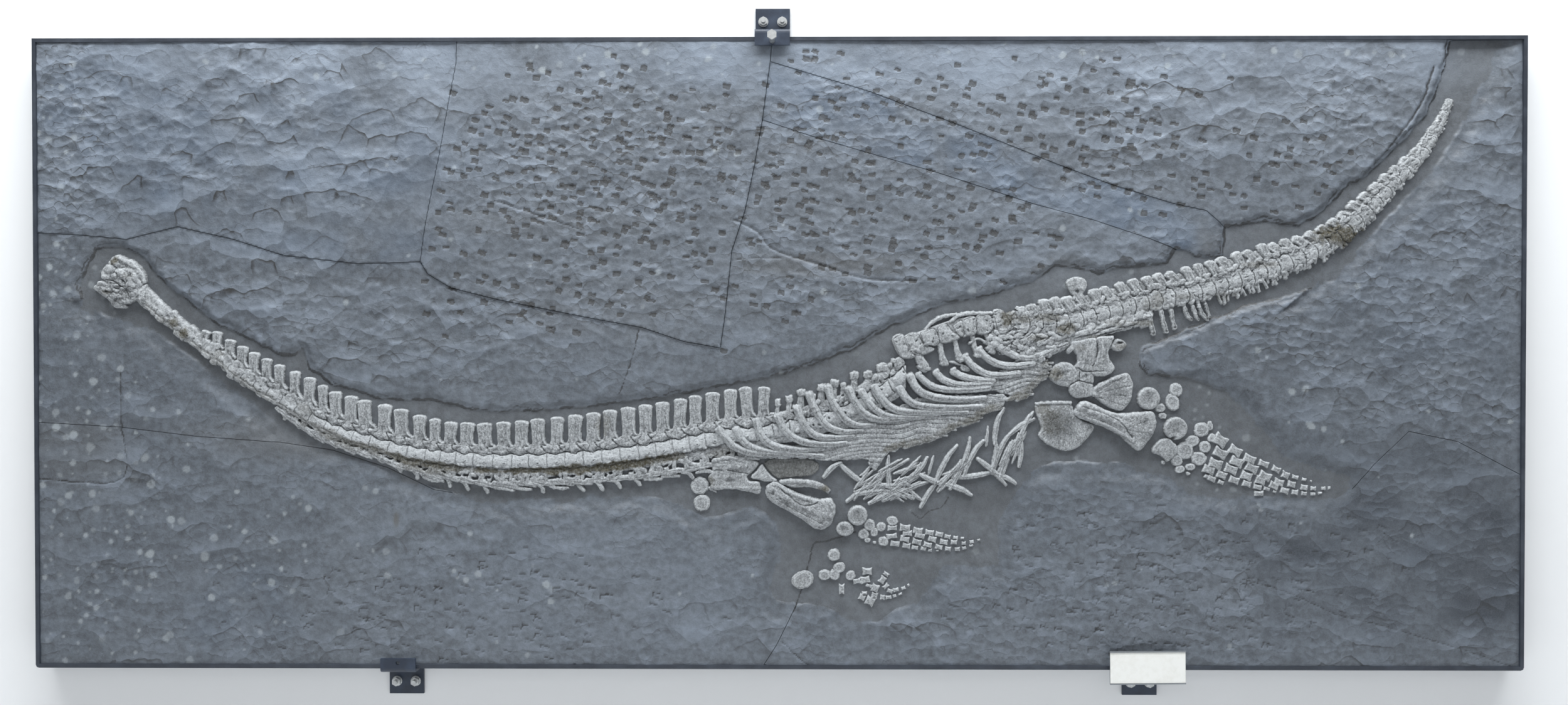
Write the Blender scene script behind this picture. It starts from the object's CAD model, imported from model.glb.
"""The mounted plesionectes skeleton: a long-necked swimmer on its shale slab, in a steel frame on three brackets.

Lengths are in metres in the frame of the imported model, with X to the right, Z up and -Y out from the wall. Places on
the slab are given as (u, v), in millimetres to the right of and above the lower left corner of the steel frame, and a
depth is in millimetres out from the wall.
"""

import logging
import math
from dataclasses import dataclass, field
from enum import Enum
from typing import Callable, Iterable, Sequence

import bmesh
import bpy
import numpy as np
from mathutils import Matrix, Vector


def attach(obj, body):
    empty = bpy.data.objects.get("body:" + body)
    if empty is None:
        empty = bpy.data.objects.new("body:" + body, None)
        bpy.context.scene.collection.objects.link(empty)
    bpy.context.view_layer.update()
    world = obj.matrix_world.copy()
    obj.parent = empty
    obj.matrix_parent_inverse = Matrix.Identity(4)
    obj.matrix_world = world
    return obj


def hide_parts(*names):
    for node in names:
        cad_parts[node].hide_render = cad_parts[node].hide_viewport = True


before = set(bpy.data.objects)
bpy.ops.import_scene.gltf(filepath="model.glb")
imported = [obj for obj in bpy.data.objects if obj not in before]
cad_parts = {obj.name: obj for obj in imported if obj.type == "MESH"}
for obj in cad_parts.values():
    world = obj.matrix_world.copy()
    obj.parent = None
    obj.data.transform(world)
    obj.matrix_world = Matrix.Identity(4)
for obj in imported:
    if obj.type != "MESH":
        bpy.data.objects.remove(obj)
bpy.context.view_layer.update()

log = logging.getLogger("skeleton")

Point = tuple[float, ...]
Line = Sequence[Sequence[float]]

# The slab, in millimetres
SLAB_WIDTH = 3200.0
SLAB_HEIGHT = 1356.0
ORIGIN_U = 1592.0
ORIGIN_V = 1407.0
FRAME_WALL = 8.3
SHALE_BACK = 14.3
CHANNEL_FLOOR = 43.0
PLAIN_LEVEL = 50.5
SEAM_WIDTH = 1.2
ON_CHANNEL = 2.5
MARKS_SHOW = 0.8
FLOOR_CRACKS_BELOW = 400

# Depths of the bones, in millimetres
BED = 41.0
OUTSIDE = 20.0
WALL_STEEPNESS = 6.0
EVERYWHERE = (slice(None), slice(None))

# Steps of the grids, in millimetres
SLAB_CELL = 3.0
BONE_CELL = 1.4

# The neck's first bones, up to here, are crushed: thinner spines, and lumps in place of a seam
CRUSHED_SPINES_END = 640
CRUSHED_DRUMS_END = 590
PALE_DRUMS_START = 620
FRONT_NECK_END = 700


def metres(u: np.ndarray, v: np.ndarray, depth: np.ndarray) -> np.ndarray:
    """Places on the slab as points of the model.

    Args:
        u: Millimetres to the right.
        v: Millimetres up.
        depth: Millimetres out from the wall.

    Returns:
        An array of points, one row each.
    """
    return np.stack([(u - ORIGIN_U) / 1000, -depth / 1000, (v - ORIGIN_V) / 1000], -1)


def ramp(x: np.ndarray) -> np.ndarray:
    """A smooth step from 0 at 0 to 1 at 1."""
    t = np.clip(x, 0, 1)
    return t * t * (3 - 2 * t)


def chance(i: np.ndarray, j: np.ndarray, seed: int) -> np.ndarray:
    """An even scatter of numbers from 0 to 1, one for each pair of whole numbers.

    Args:
        i: First whole numbers.
        j: Second whole numbers.
        seed: Picks the scatter.

    Returns:
        The numbers, in the shape of i.
    """
    mixed = (i * 374761393 + j * 668265263 + seed * 1442695041) & 0xFFFFFFFF
    mixed = ((mixed ^ (mixed >> 13)) * 1274126177) & 0xFFFFFFFF
    return ((mixed ^ (mixed >> 16)) & 0xFFFFF) / 0xFFFFF


def swell(x: np.ndarray, y: np.ndarray, seed: int) -> np.ndarray:
    """Smooth random hills from -1 to 1, about one unit across.

    Args:
        x: First coordinate, in units of a hill's width.
        y: Second coordinate.
        seed: Picks the hills.

    Returns:
        Heights, in the shape of x.
    """
    i, j = np.floor(x).astype(np.int64), np.floor(y).astype(np.int64)
    a, b = ramp(x - i), ramp(y - j)
    low = chance(i, j, seed) * (1 - a) + chance(i + 1, j, seed) * a
    high = chance(i, j + 1, seed) * (1 - a) + chance(i + 1, j + 1, seed) * a
    return 2 * (low * (1 - b) + high * b) - 1


def rough(x: np.ndarray, y: np.ndarray, seed: int, octaves: int = 3) -> np.ndarray:
    """Random hills with smaller hills on them.

    Args:
        x: First coordinate, in units of the widest hills.
        y: Second coordinate.
        seed: Picks the hills.
        octaves: How many sizes of hill, each half as wide as the last.

    Returns:
        Heights from about -1 to 1.
    """
    total = np.zeros_like(x)
    for octave in range(octaves):
        total += swell(x * 2**octave + 7.3 * octave, y * 2**octave - 3.1 * octave, seed + octave) * 0.55**octave
    return total


def rounded(points: Line, step: float, closed: bool = False) -> np.ndarray:
    """A line drawn smoothly through its points.

    Args:
        points: The points, of two or more coordinates each.
        step: Greatest distance between points of the result.
        closed: True if the line ends where it starts.

    Returns:
        The finer line's points, without a repeat of the first.
    """
    p = np.array(points, float)
    count = len(p)
    spans = count if closed else count - 1
    made = []
    for k in range(spans):
        if closed:
            a, b, c, d = p[(k - 1) % count], p[k], p[(k + 1) % count], p[(k + 2) % count]
        else:
            b, c = p[k], p[k + 1]
            a = p[k - 1] if k else 2 * b - c
            d = p[k + 2] if k + 2 < count else 2 * c - b
        parts = max(1, int(np.linalg.norm((c - b)[:2]) / step))
        for t in np.arange(parts) / parts:
            made.append(
                0.5 * (2 * b + (c - a) * t + (2 * a - 5 * b + 4 * c - d) * t * t + (3 * b - a - 3 * c + d) * t**3)
            )
    if not closed:
        made.append(p[-1])
    return np.array(made)


def near_line(u: np.ndarray, v: np.ndarray, line: Line, closed: bool = False) -> tuple[np.ndarray, ...]:
    """How places lie to a line of straight stretches.

    Args:
        u: Places' first coordinate.
        v: Places' second coordinate.
        line: The line's points. Only their first two coordinates count.
        closed: True if the line ends where it starts.

    Returns:
        Distance to the line, distance run along it, which side (1 on the left), and the nearest point's position as a
        count of stretches.
    """
    p = np.array([q[:2] for q in line], float)
    if closed:
        p = np.vstack([p, p[:1]])
    best = np.full(u.shape, 1e9)
    run = np.zeros(u.shape)
    side = np.ones(u.shape)
    place = np.zeros(u.shape)
    start = 0.0
    for k in range(len(p) - 1):
        du, dv = p[k + 1] - p[k]
        length = math.hypot(du, dv)
        if length < 1e-9:
            continue
        au, av = u - p[k][0], v - p[k][1]
        t = np.clip((au * du + av * dv) / length**2, 0, 1)
        apart = np.hypot(au - t * du, av - t * dv)
        closer = apart < best
        best = np.where(closer, apart, best)
        run = np.where(closer, start + t * length, run)
        side = np.where(closer, np.sign(du * av - dv * au), side)
        place = np.where(closer, k + t, place)
        start += length
    return best, run, side, place


def away_from(line: Line, u: np.ndarray, v: np.ndarray, closed: bool = False) -> np.ndarray:
    """How far places lie from a line of straight stretches."""
    return near_line(u, v, line, closed)[0]


def is_inside(u: np.ndarray, v: np.ndarray, outline: Line) -> np.ndarray:
    """Which places lie inside a closed outline.

    Args:
        u: Places' first coordinate.
        v: Places' second coordinate.
        outline: The outline's corners. Only their first two coordinates count.

    Returns:
        For each place, whether it lies inside.
    """
    found = np.zeros(u.shape, bool)
    p = np.array([q[:2] for q in outline], float)
    for (u0, v0), (u1, v1) in zip(p, np.roll(p, -1, 0)):
        if v0 == v1:
            continue
        crosses = (v0 > v) != (v1 > v)
        found ^= crosses & (u < (u1 - u0) * (v - v0) / (v1 - v0) + u0)
    return found


def at_level(line: Line, u: float) -> float:
    """The second value of a line of pairs where the first is u."""
    return float(np.interp(u, [p[0] for p in line], [p[1] for p in line]))


def blurred(values: np.ndarray, reach: int) -> np.ndarray:
    """The values, each evened out over a square of 2 * reach + 1 cells.

    Args:
        values: A grid of numbers.
        reach: How many cells to each side count.

    Returns:
        The grid, evened out.
    """
    out = values
    for axis in (0, 1):
        pad = [(0, 0), (0, 0)]
        pad[axis] = (reach + 1, reach)
        total = np.cumsum(np.pad(out, pad, mode="edge"), axis=axis)
        ahead = np.take(total, range(2 * reach + 1, total.shape[axis]), axis=axis)
        behind = np.take(total, range(0, total.shape[axis] - 2 * reach - 1), axis=axis)
        out = (ahead - behind) / (2 * reach + 1)
    return out


class Relief:
    """A patch of the slab seen from the front, worked up as a depth for each of its cells' corners."""

    def __init__(self, low: Point, high: Point, cell: float) -> None:
        """Starts with bare ground.

        Args:
            low: Lower left corner (u, v).
            high: Upper right corner (u, v).
            cell: Distance between neighbouring corners.
        """
        self.cell = cell
        self.columns = max(2, math.ceil((high[0] - low[0]) / cell))
        self.rows = max(2, math.ceil((high[1] - low[1]) / cell))
        self.low = low
        us = low[0] + cell * np.arange(self.columns + 1)
        vs = low[1] + cell * np.arange(self.rows + 1)
        self.u, self.v = np.meshgrid(us, vs)
        self.depth = np.full(self.u.shape, OUTSIDE)
        self.marks: dict[str, np.ndarray] = {}

    def middles(self) -> tuple[np.ndarray, np.ndarray]:
        """The u and v of the middle of each cell."""
        return self.u[:-1, :-1] + self.cell / 2, self.v[:-1, :-1] + self.cell / 2

    def mark(self, name: str) -> np.ndarray:
        """The named measure over the patch, all 0 when first asked for."""
        return self.marks.setdefault(name, np.zeros(self.u.shape))

    def window(self, line: Line, margin: float) -> tuple[slice, slice]:
        """The part of the patch within a margin of a line's box.

        Args:
            line: The line's points.
            margin: How far beyond the box the window reaches.

        Returns:
            The window's rows and its columns, as slices.
        """
        p = np.array([q[:2] for q in line], float)
        low = np.floor((p.min(0) - margin - self.low) / self.cell).astype(int)
        high = np.ceil((p.max(0) + margin - self.low) / self.cell).astype(int) + 1
        return slice(max(low[1], 0), max(high[1], 0)), slice(max(low[0], 0), max(high[0], 0))

    def piece(self, name: str, keep: np.ndarray, back: float, pull: Callable | None = None) -> bpy.types.Object:
        """Cuts the patch out as a closed body.

        Args:
            name: The piece's name.
            keep: For each cell, whether it stays.
            back: Depth of the flat back.
            pull: Moves the rim's corners, as a function of their u and v, if given.

        Returns:
            The new object, with the patch's marks as attributes.
        """
        rows, columns = np.nonzero(keep)
        r0, r1, c0, c1 = rows.min(), rows.max() + 1, columns.min(), columns.max() + 1
        part = keep[r0:r1, c0:c1]
        wide, high = int(c1 - c0), int(r1 - r0)
        bm = bmesh.new()
        bmesh.ops.create_grid(bm, x_segments=wide, y_segments=high, size=0.5)
        u0, v0 = self.low[0] + c0 * self.cell, self.low[1] + r0 * self.cell
        middle = Matrix.Translation(((u0 + wide * self.cell / 2), 0, (v0 + high * self.cell / 2)))
        stretch = Matrix.Diagonal((wide * self.cell, 1, high * self.cell, 1))
        bmesh.ops.transform(bm, matrix=middle @ stretch @ Matrix.Rotation(math.pi / 2, 4, "X"), verts=bm.verts)
        bm.faces.ensure_lookup_table()
        gone = []
        for face in bm.faces:
            centre = face.calc_center_median()
            if not part[int((centre.z - v0) / self.cell), int((centre.x - u0) / self.cell)]:
                gone.append(face)
        bmesh.ops.delete(bm, geom=gone, context="FACES")
        rim = [e for e in bm.edges if e.is_boundary]
        rim_corners = list({corner for edge in rim for corner in edge.verts})
        made = bmesh.ops.extrude_edge_only(bm, edges=rim)["geom"]
        back_corners = [item for item in made if isinstance(item, bmesh.types.BMVert)]
        bmesh.ops.translate(bm, vec=(0, self.cell, 0), verts=back_corners)
        bmesh.ops.translate(bm, vec=(0, -self.cell, 0), verts=rim_corners)
        open_edges = [item for item in made if isinstance(item, bmesh.types.BMEdge) and item.is_boundary]
        bmesh.ops.triangle_fill(bm, edges=open_edges, normal=(0, 1, 0))
        bmesh.ops.recalc_face_normals(bm, faces=bm.faces)
        for face in bm.faces:
            face.smooth = True
            if abs(face.normal.y) < 0.5:
                for edge in face.edges:
                    edge.smooth = edge.calc_length() > 1.5 * self.cell
        mesh = bpy.data.meshes.new(name)
        bm.to_mesh(mesh)
        bm.free()
        co = np.zeros(len(mesh.vertices) * 3)
        mesh.vertices.foreach_get("co", co)
        co = co.reshape(-1, 3)
        u, layer, v = co[:, 0].copy(), np.sign(np.rint(co[:, 1] / self.cell)), co[:, 2].copy()
        column = np.clip(np.rint((u - self.low[0]) / self.cell).astype(int), 0, self.columns)
        row = np.clip(np.rint((v - self.low[1]) / self.cell).astype(int), 0, self.rows)
        depth = np.where(layer > 0, back, np.maximum(self.depth[row, column], back + 0.3))
        if pull is not None:
            at_rim = layer != 0
            u[at_rim], v[at_rim] = pull(u[at_rim], v[at_rim])
        mesh.vertices.foreach_set("co", metres(u, v, depth).ravel())
        for label, values in self.marks.items():
            attribute = mesh.attributes.new(label, "FLOAT", "POINT")
            attribute.data.foreach_set("value", values[row, column].astype(np.float32))
        mesh.update()
        return standing(name, mesh)


def standing(name: str, mesh: bpy.types.Mesh) -> bpy.types.Object:
    """An object of a mesh, at the origin.

    Args:
        name: Its name.
        mesh: The mesh.

    Returns:
        The object, linked to the scene.
    """
    obj = bpy.data.objects.new(name, mesh)
    bpy.context.scene.collection.objects.link(obj)
    return obj


def settle(obj: bpy.types.Object, material: bpy.types.Material, slot: str, *nodes: str) -> bpy.types.Object:
    """Finishes a piece and ties it to the model.

    Args:
        obj: The piece.
        material: Its material.
        slot: The record's material slot.
        nodes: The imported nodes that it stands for.

    Returns:
        The piece.
    """
    obj.data.materials.clear()
    obj.data.materials.append(material)
    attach(obj, "root")
    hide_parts(*nodes)
    log.info("%s: %d faces", obj.name, len(obj.data.polygons))
    return obj


class Shader:
    """A short way to write a node tree."""

    def __init__(self, tree: bpy.types.NodeTree) -> None:
        """Takes the tree to write in."""
        self.tree = tree

    def node(self, kind: str, settings: dict | None = None, **inputs: object) -> bpy.types.Node:
        """Adds a node.

        Args:
            kind: Its type, without the leading words ShaderNode.
            settings: Its own properties.
            inputs: A value or an output for each named input. An underscore stands for a space, and a number after
                the letter i picks an input by its place.

        Returns:
            The node.
        """
        made = self.tree.nodes.new("ShaderNode" + kind)
        for key, value in (settings or {}).items():
            setattr(made, key, value)
        for key, value in inputs.items():
            numbered = key[0] == "i" and key[1:].isdigit()
            label = key if key in made.inputs else key.replace("_", " ")
            spot = made.inputs[int(key[1:]) if numbered else label]
            if isinstance(value, bpy.types.NodeSocket):
                self.tree.links.new(value, spot)
            else:
                spot.default_value = value
        return made

    def effect(self, effect: "Effect", **inputs: object) -> bpy.types.bpy_prop_collection:
        """Places a shared effect and returns its outputs."""
        return self.node("Group", {"node_tree": effect.tree()}, **inputs).outputs

    def sum(self, kind: str, a: object, b: object = 0.0, c: object = 0.0) -> bpy.types.NodeSocket:
        """Arithmetic on up to three values, by the name of the operation."""
        return self.node("Math", {"operation": kind}, i0=a, i1=b, i2=c).outputs[0]

    def times(self, a: object, b: object) -> bpy.types.NodeSocket:
        """The product of two values."""
        return self.sum("MULTIPLY", a, b)

    def between(self, value: object, low: float, high: float, to_low: float = 0.0,
                to_high: float = 1.0) -> bpy.types.NodeSocket:
        """A value's place from low to high, as a number from to_low to to_high that stops at both ends."""
        made = self.node("MapRange", {"clamp": True}, i0=value, i1=low, i2=high, i3=to_low, i4=to_high)
        return made.outputs[0]

    def tint(self, factor: object, under: object, over: object, kind: str = "MIX") -> bpy.types.NodeSocket:
        """One colour laid over another by a factor."""
        made = self.node("Mix", {"data_type": "RGBA", "blend_type": kind}, i0=factor, i6=under, i7=over)
        return made.outputs[2]

    def measure(self, name: str) -> bpy.types.NodeSocket:
        """A number that the mesh carries at each of its corners."""
        return self.node("Attribute", {"attribute_name": name}).outputs["Fac"]

    def grain(self, where: object, scale: float, detail: float = 3.0, rough: float = 0.55) -> bpy.types.NodeSocket:
        """Cloudy noise from 0 to 1 at a scale of so many clouds in a metre."""
        made = self.node("TexNoise", None, Vector=where, Scale=scale, Detail=detail, Roughness=rough)
        return made.outputs["Fac"]


def colour(red: float, green: float, blue: float) -> tuple[float, float, float, float]:
    """A colour from screen values of 0 to 255 as light values.

    Args:
        red: Screen value of red.
        green: Screen value of green.
        blue: Screen value of blue.

    Returns:
        Red, green and blue as light, and full cover.
    """
    def light(value: float) -> float:
        """One channel as light."""
        share = value / 255
        return share / 12.92 if share <= 0.04045 else ((share + 0.055) / 1.055) ** 2.4

    return light(red), light(green), light(blue), 1.0


def new_material(name: str) -> tuple[bpy.types.Material, Shader, bpy.types.Node]:
    """A material with its shader ready to dress.

    Args:
        name: The material's name.

    Returns:
        The material, its tree's writer and its Principled node.
    """
    material = bpy.data.materials.new(name)
    material.use_nodes = True
    return material, Shader(material.node_tree), material.node_tree.nodes["Principled BSDF"]


class Effect:
    """An effect that several materials share: a node group, made when first placed."""

    def __init__(self, name: str, takes: dict[str, str], gives: dict[str, str], write: Callable) -> None:
        """Keeps what the group is made of.

        Args:
            name: Its name.
            takes: Kind of each named input.
            gives: Kind of each named output.
            write: Given a writer and the inputs by name, writes the nodes and returns the outputs by name.
        """
        self.name, self.takes, self.gives, self.write = name, takes, gives, write

    def tree(self) -> bpy.types.NodeTree:
        """The node group.

        Returns:
            The group, made now if nothing has placed it before.
        """
        if self.name in bpy.data.node_groups:
            return bpy.data.node_groups[self.name]
        tree = bpy.data.node_groups.new(self.name, "ShaderNodeTree")
        for way, sockets in (("INPUT", self.takes), ("OUTPUT", self.gives)):
            for label, kind in sockets.items():
                tree.interface.new_socket(name=label, in_out=way, socket_type="NodeSocket" + kind)
        entry, leave = tree.nodes.new("NodeGroupInput"), tree.nodes.new("NodeGroupOutput")
        made = self.write(Shader(tree), {label: entry.outputs[label] for label in self.takes})
        for label, socket in made.items():
            tree.links.new(socket, leave.inputs[label])
        return tree


def write_grain(s: Shader, given: dict) -> dict:
    """Broad clouds, mottling and fine grain.

    Args:
        s: Writes in the group's tree.
        given: The group's inputs by name.

    Returns:
        The group's outputs by name.
    """
    where = given["Where"]
    return {"Cloud": s.grain(where, given["Cloud_Scale"], 4.0),
            "Mottle": s.grain(where, given["Mottle_Scale"], 4.0, 0.65),
            "Fine": s.grain(where, given["Fine_Scale"], 2.0, 0.6)}


def write_flakes(s: Shader, given: dict) -> dict:
    """Shingled flake scars: the height and shade of each, how far down it a place lies, and its dark upper lip.

    Args:
        s: Writes in the group's tree.
        given: The group's inputs by name.

    Returns:
        The group's outputs by name.
    """
    where, scale = given["Where"], given["Scale"]
    wander = s.node("TexNoise", None, Vector=where, Scale=s.times(scale, 0.9), Detail=3.0)
    reach = s.sum("DIVIDE", 0.75, scale)
    moved = s.node("VectorMath", {"operation": "SCALE"}, i0=wander.outputs["Color"], Scale=reach)
    place = s.node("VectorMath", {"operation": "ADD"}, i0=where, i1=moved.outputs[0]).outputs[0]
    flat = s.node("VectorMath", {"operation": "MULTIPLY"}, i0=place, i1=(1.0, 0.0, 1.35)).outputs[0]
    cell, rim = (s.node("TexVoronoi", {"voronoi_dimensions": "3D", "feature": feature}, Vector=flat, Scale=scale)
                 for feature in ("F1", "DISTANCE_TO_EDGE"))
    from_middle = s.node("VectorMath", {"operation": "SUBTRACT"}, i0=flat, i1=cell.outputs["Position"]).outputs[0]
    over = s.times(s.node("SeparateXYZ", None, i0=from_middle).outputs[2], scale)
    close = rim.outputs["Distance"]
    shade = s.node("SeparateXYZ", None, i0=cell.outputs["Color"]).outputs[0]
    lip = s.times(s.between(over, 0.12, 0.4), s.between(shade, 0.4, 0.7))
    height = s.sum("SUBTRACT", s.times(shade, 0.35), s.times(over, 0.5))
    return {"Height": height, "Shade": shade, "Lie": s.times(over, -1.0),
            "Dark": s.times(s.between(close, 0.09, 0.02), lip)}


def write_relief(s: Shader, given: dict) -> dict:
    """Dirt in hollows, pale dust and wear on ridges, dark cracks and brown stains.

    Args:
        s: Writes in the group's tree.
        given: The group's inputs by name.

    Returns:
        The group's outputs by name.
    """
    hollow = given["Hollow"]
    made = s.tint(s.times(s.between(hollow, 0.1, 1.0), given["Wear"]), given["Colour"], given["Pale"])
    made = s.tint(s.times(s.between(hollow, -0.05, -1.0), given["Dirt"]), made, given["Shade"])
    made = s.tint(given["Stain"], made, given["Brown"])
    return {"Colour": s.tint(s.between(given["Crack"], 0.1, 0.8, 0.0, 0.85), made, given["Shade"])}


def floats(*names: str) -> dict[str, str]:
    """Named sockets that each carry a number."""
    return dict.fromkeys(names, "Float")


GRAIN = Effect("stone_grain", {"Where": "Vector", **floats("Cloud_Scale", "Mottle_Scale", "Fine_Scale")},
               floats("Cloud", "Mottle", "Fine"), write_grain)
FLAKES = Effect("flake_scars", {"Where": "Vector", "Scale": "Float"}, floats("Height", "Shade", "Lie", "Dark"),
                write_flakes)
RELIEF_TINT = Effect("dirt_and_wear", {"Colour": "Color", **floats("Hollow", "Wear", "Dirt", "Stain", "Crack"),
                                       "Pale": "Color", "Shade": "Color", "Brown": "Color"},
                     {"Colour": "Color"}, write_relief)


@dataclass(frozen=True)
class ShaleFinish:
    """Split shale: cool grey, lighter where it was bruised, with pale spots and dark chisel bites."""

    name: str = "shale"
    ground: Point = colour(92, 97, 103)
    deep: Point = colour(56, 60, 66)
    bruise: Point = colour(141, 152, 166)
    blue: Point = colour(80, 93, 110)
    brown: Point = colour(80, 75, 66)
    spot: Point = colour(160, 167, 170)
    bite: Point = colour(40, 38, 36)
    roughness: float = 0.52
    gloss: float = 0.5

    def build(self) -> bpy.types.Material:
        """Makes the material.

        Returns:
            The material.
        """
        material, s, shader = new_material(self.name)
        where = s.node("TexCoord").outputs["Object"]
        grain = s.effect(GRAIN, Where=where, Cloud_Scale=9.0, Mottle_Scale=60.0, Fine_Scale=420.0)
        cloud, mottle, fine = grain["Cloud"], grain["Mottle"], grain["Fine"]
        made = s.tint(s.between(cloud, 0.35, 0.68, 0.0, 0.42), self.ground, self.deep)
        made = s.tint(s.between(mottle, 0.45, 0.75, 0.0, 0.28), made, self.bruise)
        made = s.tint(s.between(mottle, 0.5, 0.3, 0.0, 0.38), made, self.deep)
        made = s.tint(s.measure("blue"), made, self.blue)
        made = s.tint(s.between(s.measure("tone"), 0.0, 1.0), made, self.bruise)
        made = s.tint(s.between(s.measure("tone"), 0.0, -1.0), made, self.deep)
        stain = s.times(s.measure("brown"), s.between(mottle, 0.3, 0.6, 0.6, 1.0))
        made = s.effect(RELIEF_TINT, Colour=made, Hollow=s.measure("hollow"), Wear=0.25, Dirt=0.6, Stain=stain,
                        Crack=s.between(s.measure("slit"), 0.2, 0.5), Pale=self.bruise, Shade=self.bite,
                        Brown=self.brown)["Colour"]
        patch = s.times(s.measure("spot"), s.between(fine, 0.3, 0.5, 0.75, 1.0))
        made = s.tint(patch, made, self.spot)
        stripes = s.sum("SINE", s.times(s.measure("bite_v"), 2.6))
        lines = s.between(stripes, -0.2, 0.7, 0.95, 0.35)
        bite = s.times(s.between(s.measure("bite"), 0.3, 0.42, 0.0, 0.95), lines)
        made = s.tint(s.between(fine, 0.35, 0.7, 0.0, 0.12), made, self.bruise)
        chip, scar = s.measure("chip"), s.measure("scar")
        broad = s.effect(FLAKES, Where=where, Scale=15.0)
        small = s.effect(FLAKES, Where=where, Scale=44.0)
        for flakes, amount in ((broad, scar), (small, chip)):
            lit = s.sum("ADD", flakes["Lie"], s.times(flakes["Shade"], 0.7))
            made = s.tint(s.times(s.between(lit, 0.4, 0.95, 0.0, 0.36), amount), made, self.bruise)
            made = s.tint(s.times(s.between(lit, 0.3, -0.2, 0.0, 0.3), amount), made, self.deep)
            made = s.tint(s.times(s.times(flakes["Dark"], 0.85), amount), made, self.bite)
        made = s.tint(bite, made, self.bite)
        shader.inputs["Roughness"].default_value = self.roughness
        shader.inputs["Specular IOR Level"].default_value = self.gloss
        s.tree.links.new(made, shader.inputs["Base Color"])
        grainy = s.sum("ADD", s.times(mottle, 1.3), s.times(fine, 0.5))
        grainy = s.sum("ADD", grainy, s.times(bite, -0.8))
        grainy = s.sum("ADD", grainy, s.times(s.times(broad["Height"], 2.4), scar))
        grainy = s.sum("ADD", grainy, s.times(s.times(small["Height"], 1.5), chip))
        bump = s.node("Bump", None, Strength=0.7, Distance=0.0013, Height=grainy)
        s.tree.links.new(bump.outputs[0], shader.inputs["Normal"])
        return material


# The prepared channel in which the skeleton lies, clockwise from above the skull
CHANNEL = [
    (130, 905), (185, 912), (235, 885), (262, 848), (300, 815), (345, 780), (400, 738), (470, 707),
    (525, 677), (560, 677), (577, 690), (592, 646), (640, 612), (690, 600), (745, 580), (870, 577),
    (930, 560), (1000, 552), (1110, 558), (1200, 567), (1290, 577), (1380, 590), (1500, 612), (1620, 638),
    (1700, 663), (1770, 692), (1850, 738), (1960, 785), (2050, 803), (2150, 833), (2200, 866), (2250, 862),
    (2295, 848), (2335, 862), (2440, 873), (2455, 903), (2480, 901), (2500, 886), (2560, 886), (2563, 952),
    (2650, 962), (2720, 953), (2775, 985), (2830, 1045), (2860, 1055), (2940, 1130), (2990, 1190), (3020, 1260),
    (3045, 1352), (3150, 1352), (3130, 1300), (3090, 1220), (3050, 1140), (2990, 1055), (2908, 972), (2852, 908),
    (2797, 838), (2700, 803), (2600, 780), (2500, 738), (2430, 708), (2380, 690), (2378, 655), (2400, 635),
    (2480, 627), (2560, 598), (2610, 555), (2660, 495), (2700, 445), (2770, 418), (2830, 405), (2838, 388),
    (2800, 366), (2600, 374), (2500, 378), (2440, 415), (2350, 443), (2200, 448), (2150, 425), (2110, 370),
    (2080, 320), (2070, 260), (2076, 225), (1960, 222), (1930, 185), (1910, 145), (1860, 130), (1820, 100),
    (1780, 100), (1700, 135), (1600, 145), (1585, 172), (1610, 230), (1618, 270), (1580, 335), (1545, 353),
    (1480, 330), (1445, 326), (1395, 352), (1340, 370), (1210, 368), (1050, 364), (1000, 357), (900, 378),
    (800, 410), (700, 448), (600, 480), (500, 545), (400, 625), (300, 700), (240, 738), (150, 762), (100, 780),
    (95, 830),
]

# Straight seams where the quarried plates were fitted together again
UPPER_LEFT_FOOT = [(-20, 940), (90, 935), (200, 925), (310, 952), (430, 925), (540, 890), (700, 872), (834.5, 876)]
UPPER_LEFT_SIDE = [(834.5, 876), (843, 940), (860, 1030), (875, 1100), (893, 1200), (912, 1300), (917, 1400)]
MIDDLE_FOOT = [(834.5, 876), (850, 850), (900, 820), (1000, 795), (1200, 755), (1310, 735), (1400, 705), (1480, 691)]
MIDDLE_SIDE = [(1480, 691), (1490, 760), (1505, 900), (1533, 985), (1553, 1080), (1570.5, 1179.5), (1587.3, 1304),
               (1595, 1400)]
BAND_TOP = [(1587.3, 1304), (1800, 1240), (2000, 1165), (2200, 1085), (2320, 1040), (2450, 1000), (2520, 985),
            (2562.6, 948)]
BAND_FOOT = [(1570.5, 1179.5), (1690, 1140), (1950, 1065), (2150, 1000), (2280, 965), (2400, 925), (2457, 902)]
LOWER_LEFT = [(-20, 532), (185, 520), (350, 500), (530, 487), (640, 470), (760, 432), (860, 385)]
LOWER_MIDDLE = [(1645, 140), (1630, 110), (1600, 50), (1555, -20)]
LOWER_RIGHT = [(2838, 388), (2880, 440), (2955, 512), (3060, 490), (3220, 405)]


def channel_edge(start: Point, end: Point) -> list[Point]:
    """The stretch of the channel's edge between two of its own points."""
    return CHANNEL[CHANNEL.index(start):CHANNEL.index(end) + 1]


@dataclass(frozen=True)
class Plate:
    """One quarried plate: its outline, how far its face stands proud, and how blue it is."""

    name: str
    outline: tuple
    proud: float
    blue: float = 0.0


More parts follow.
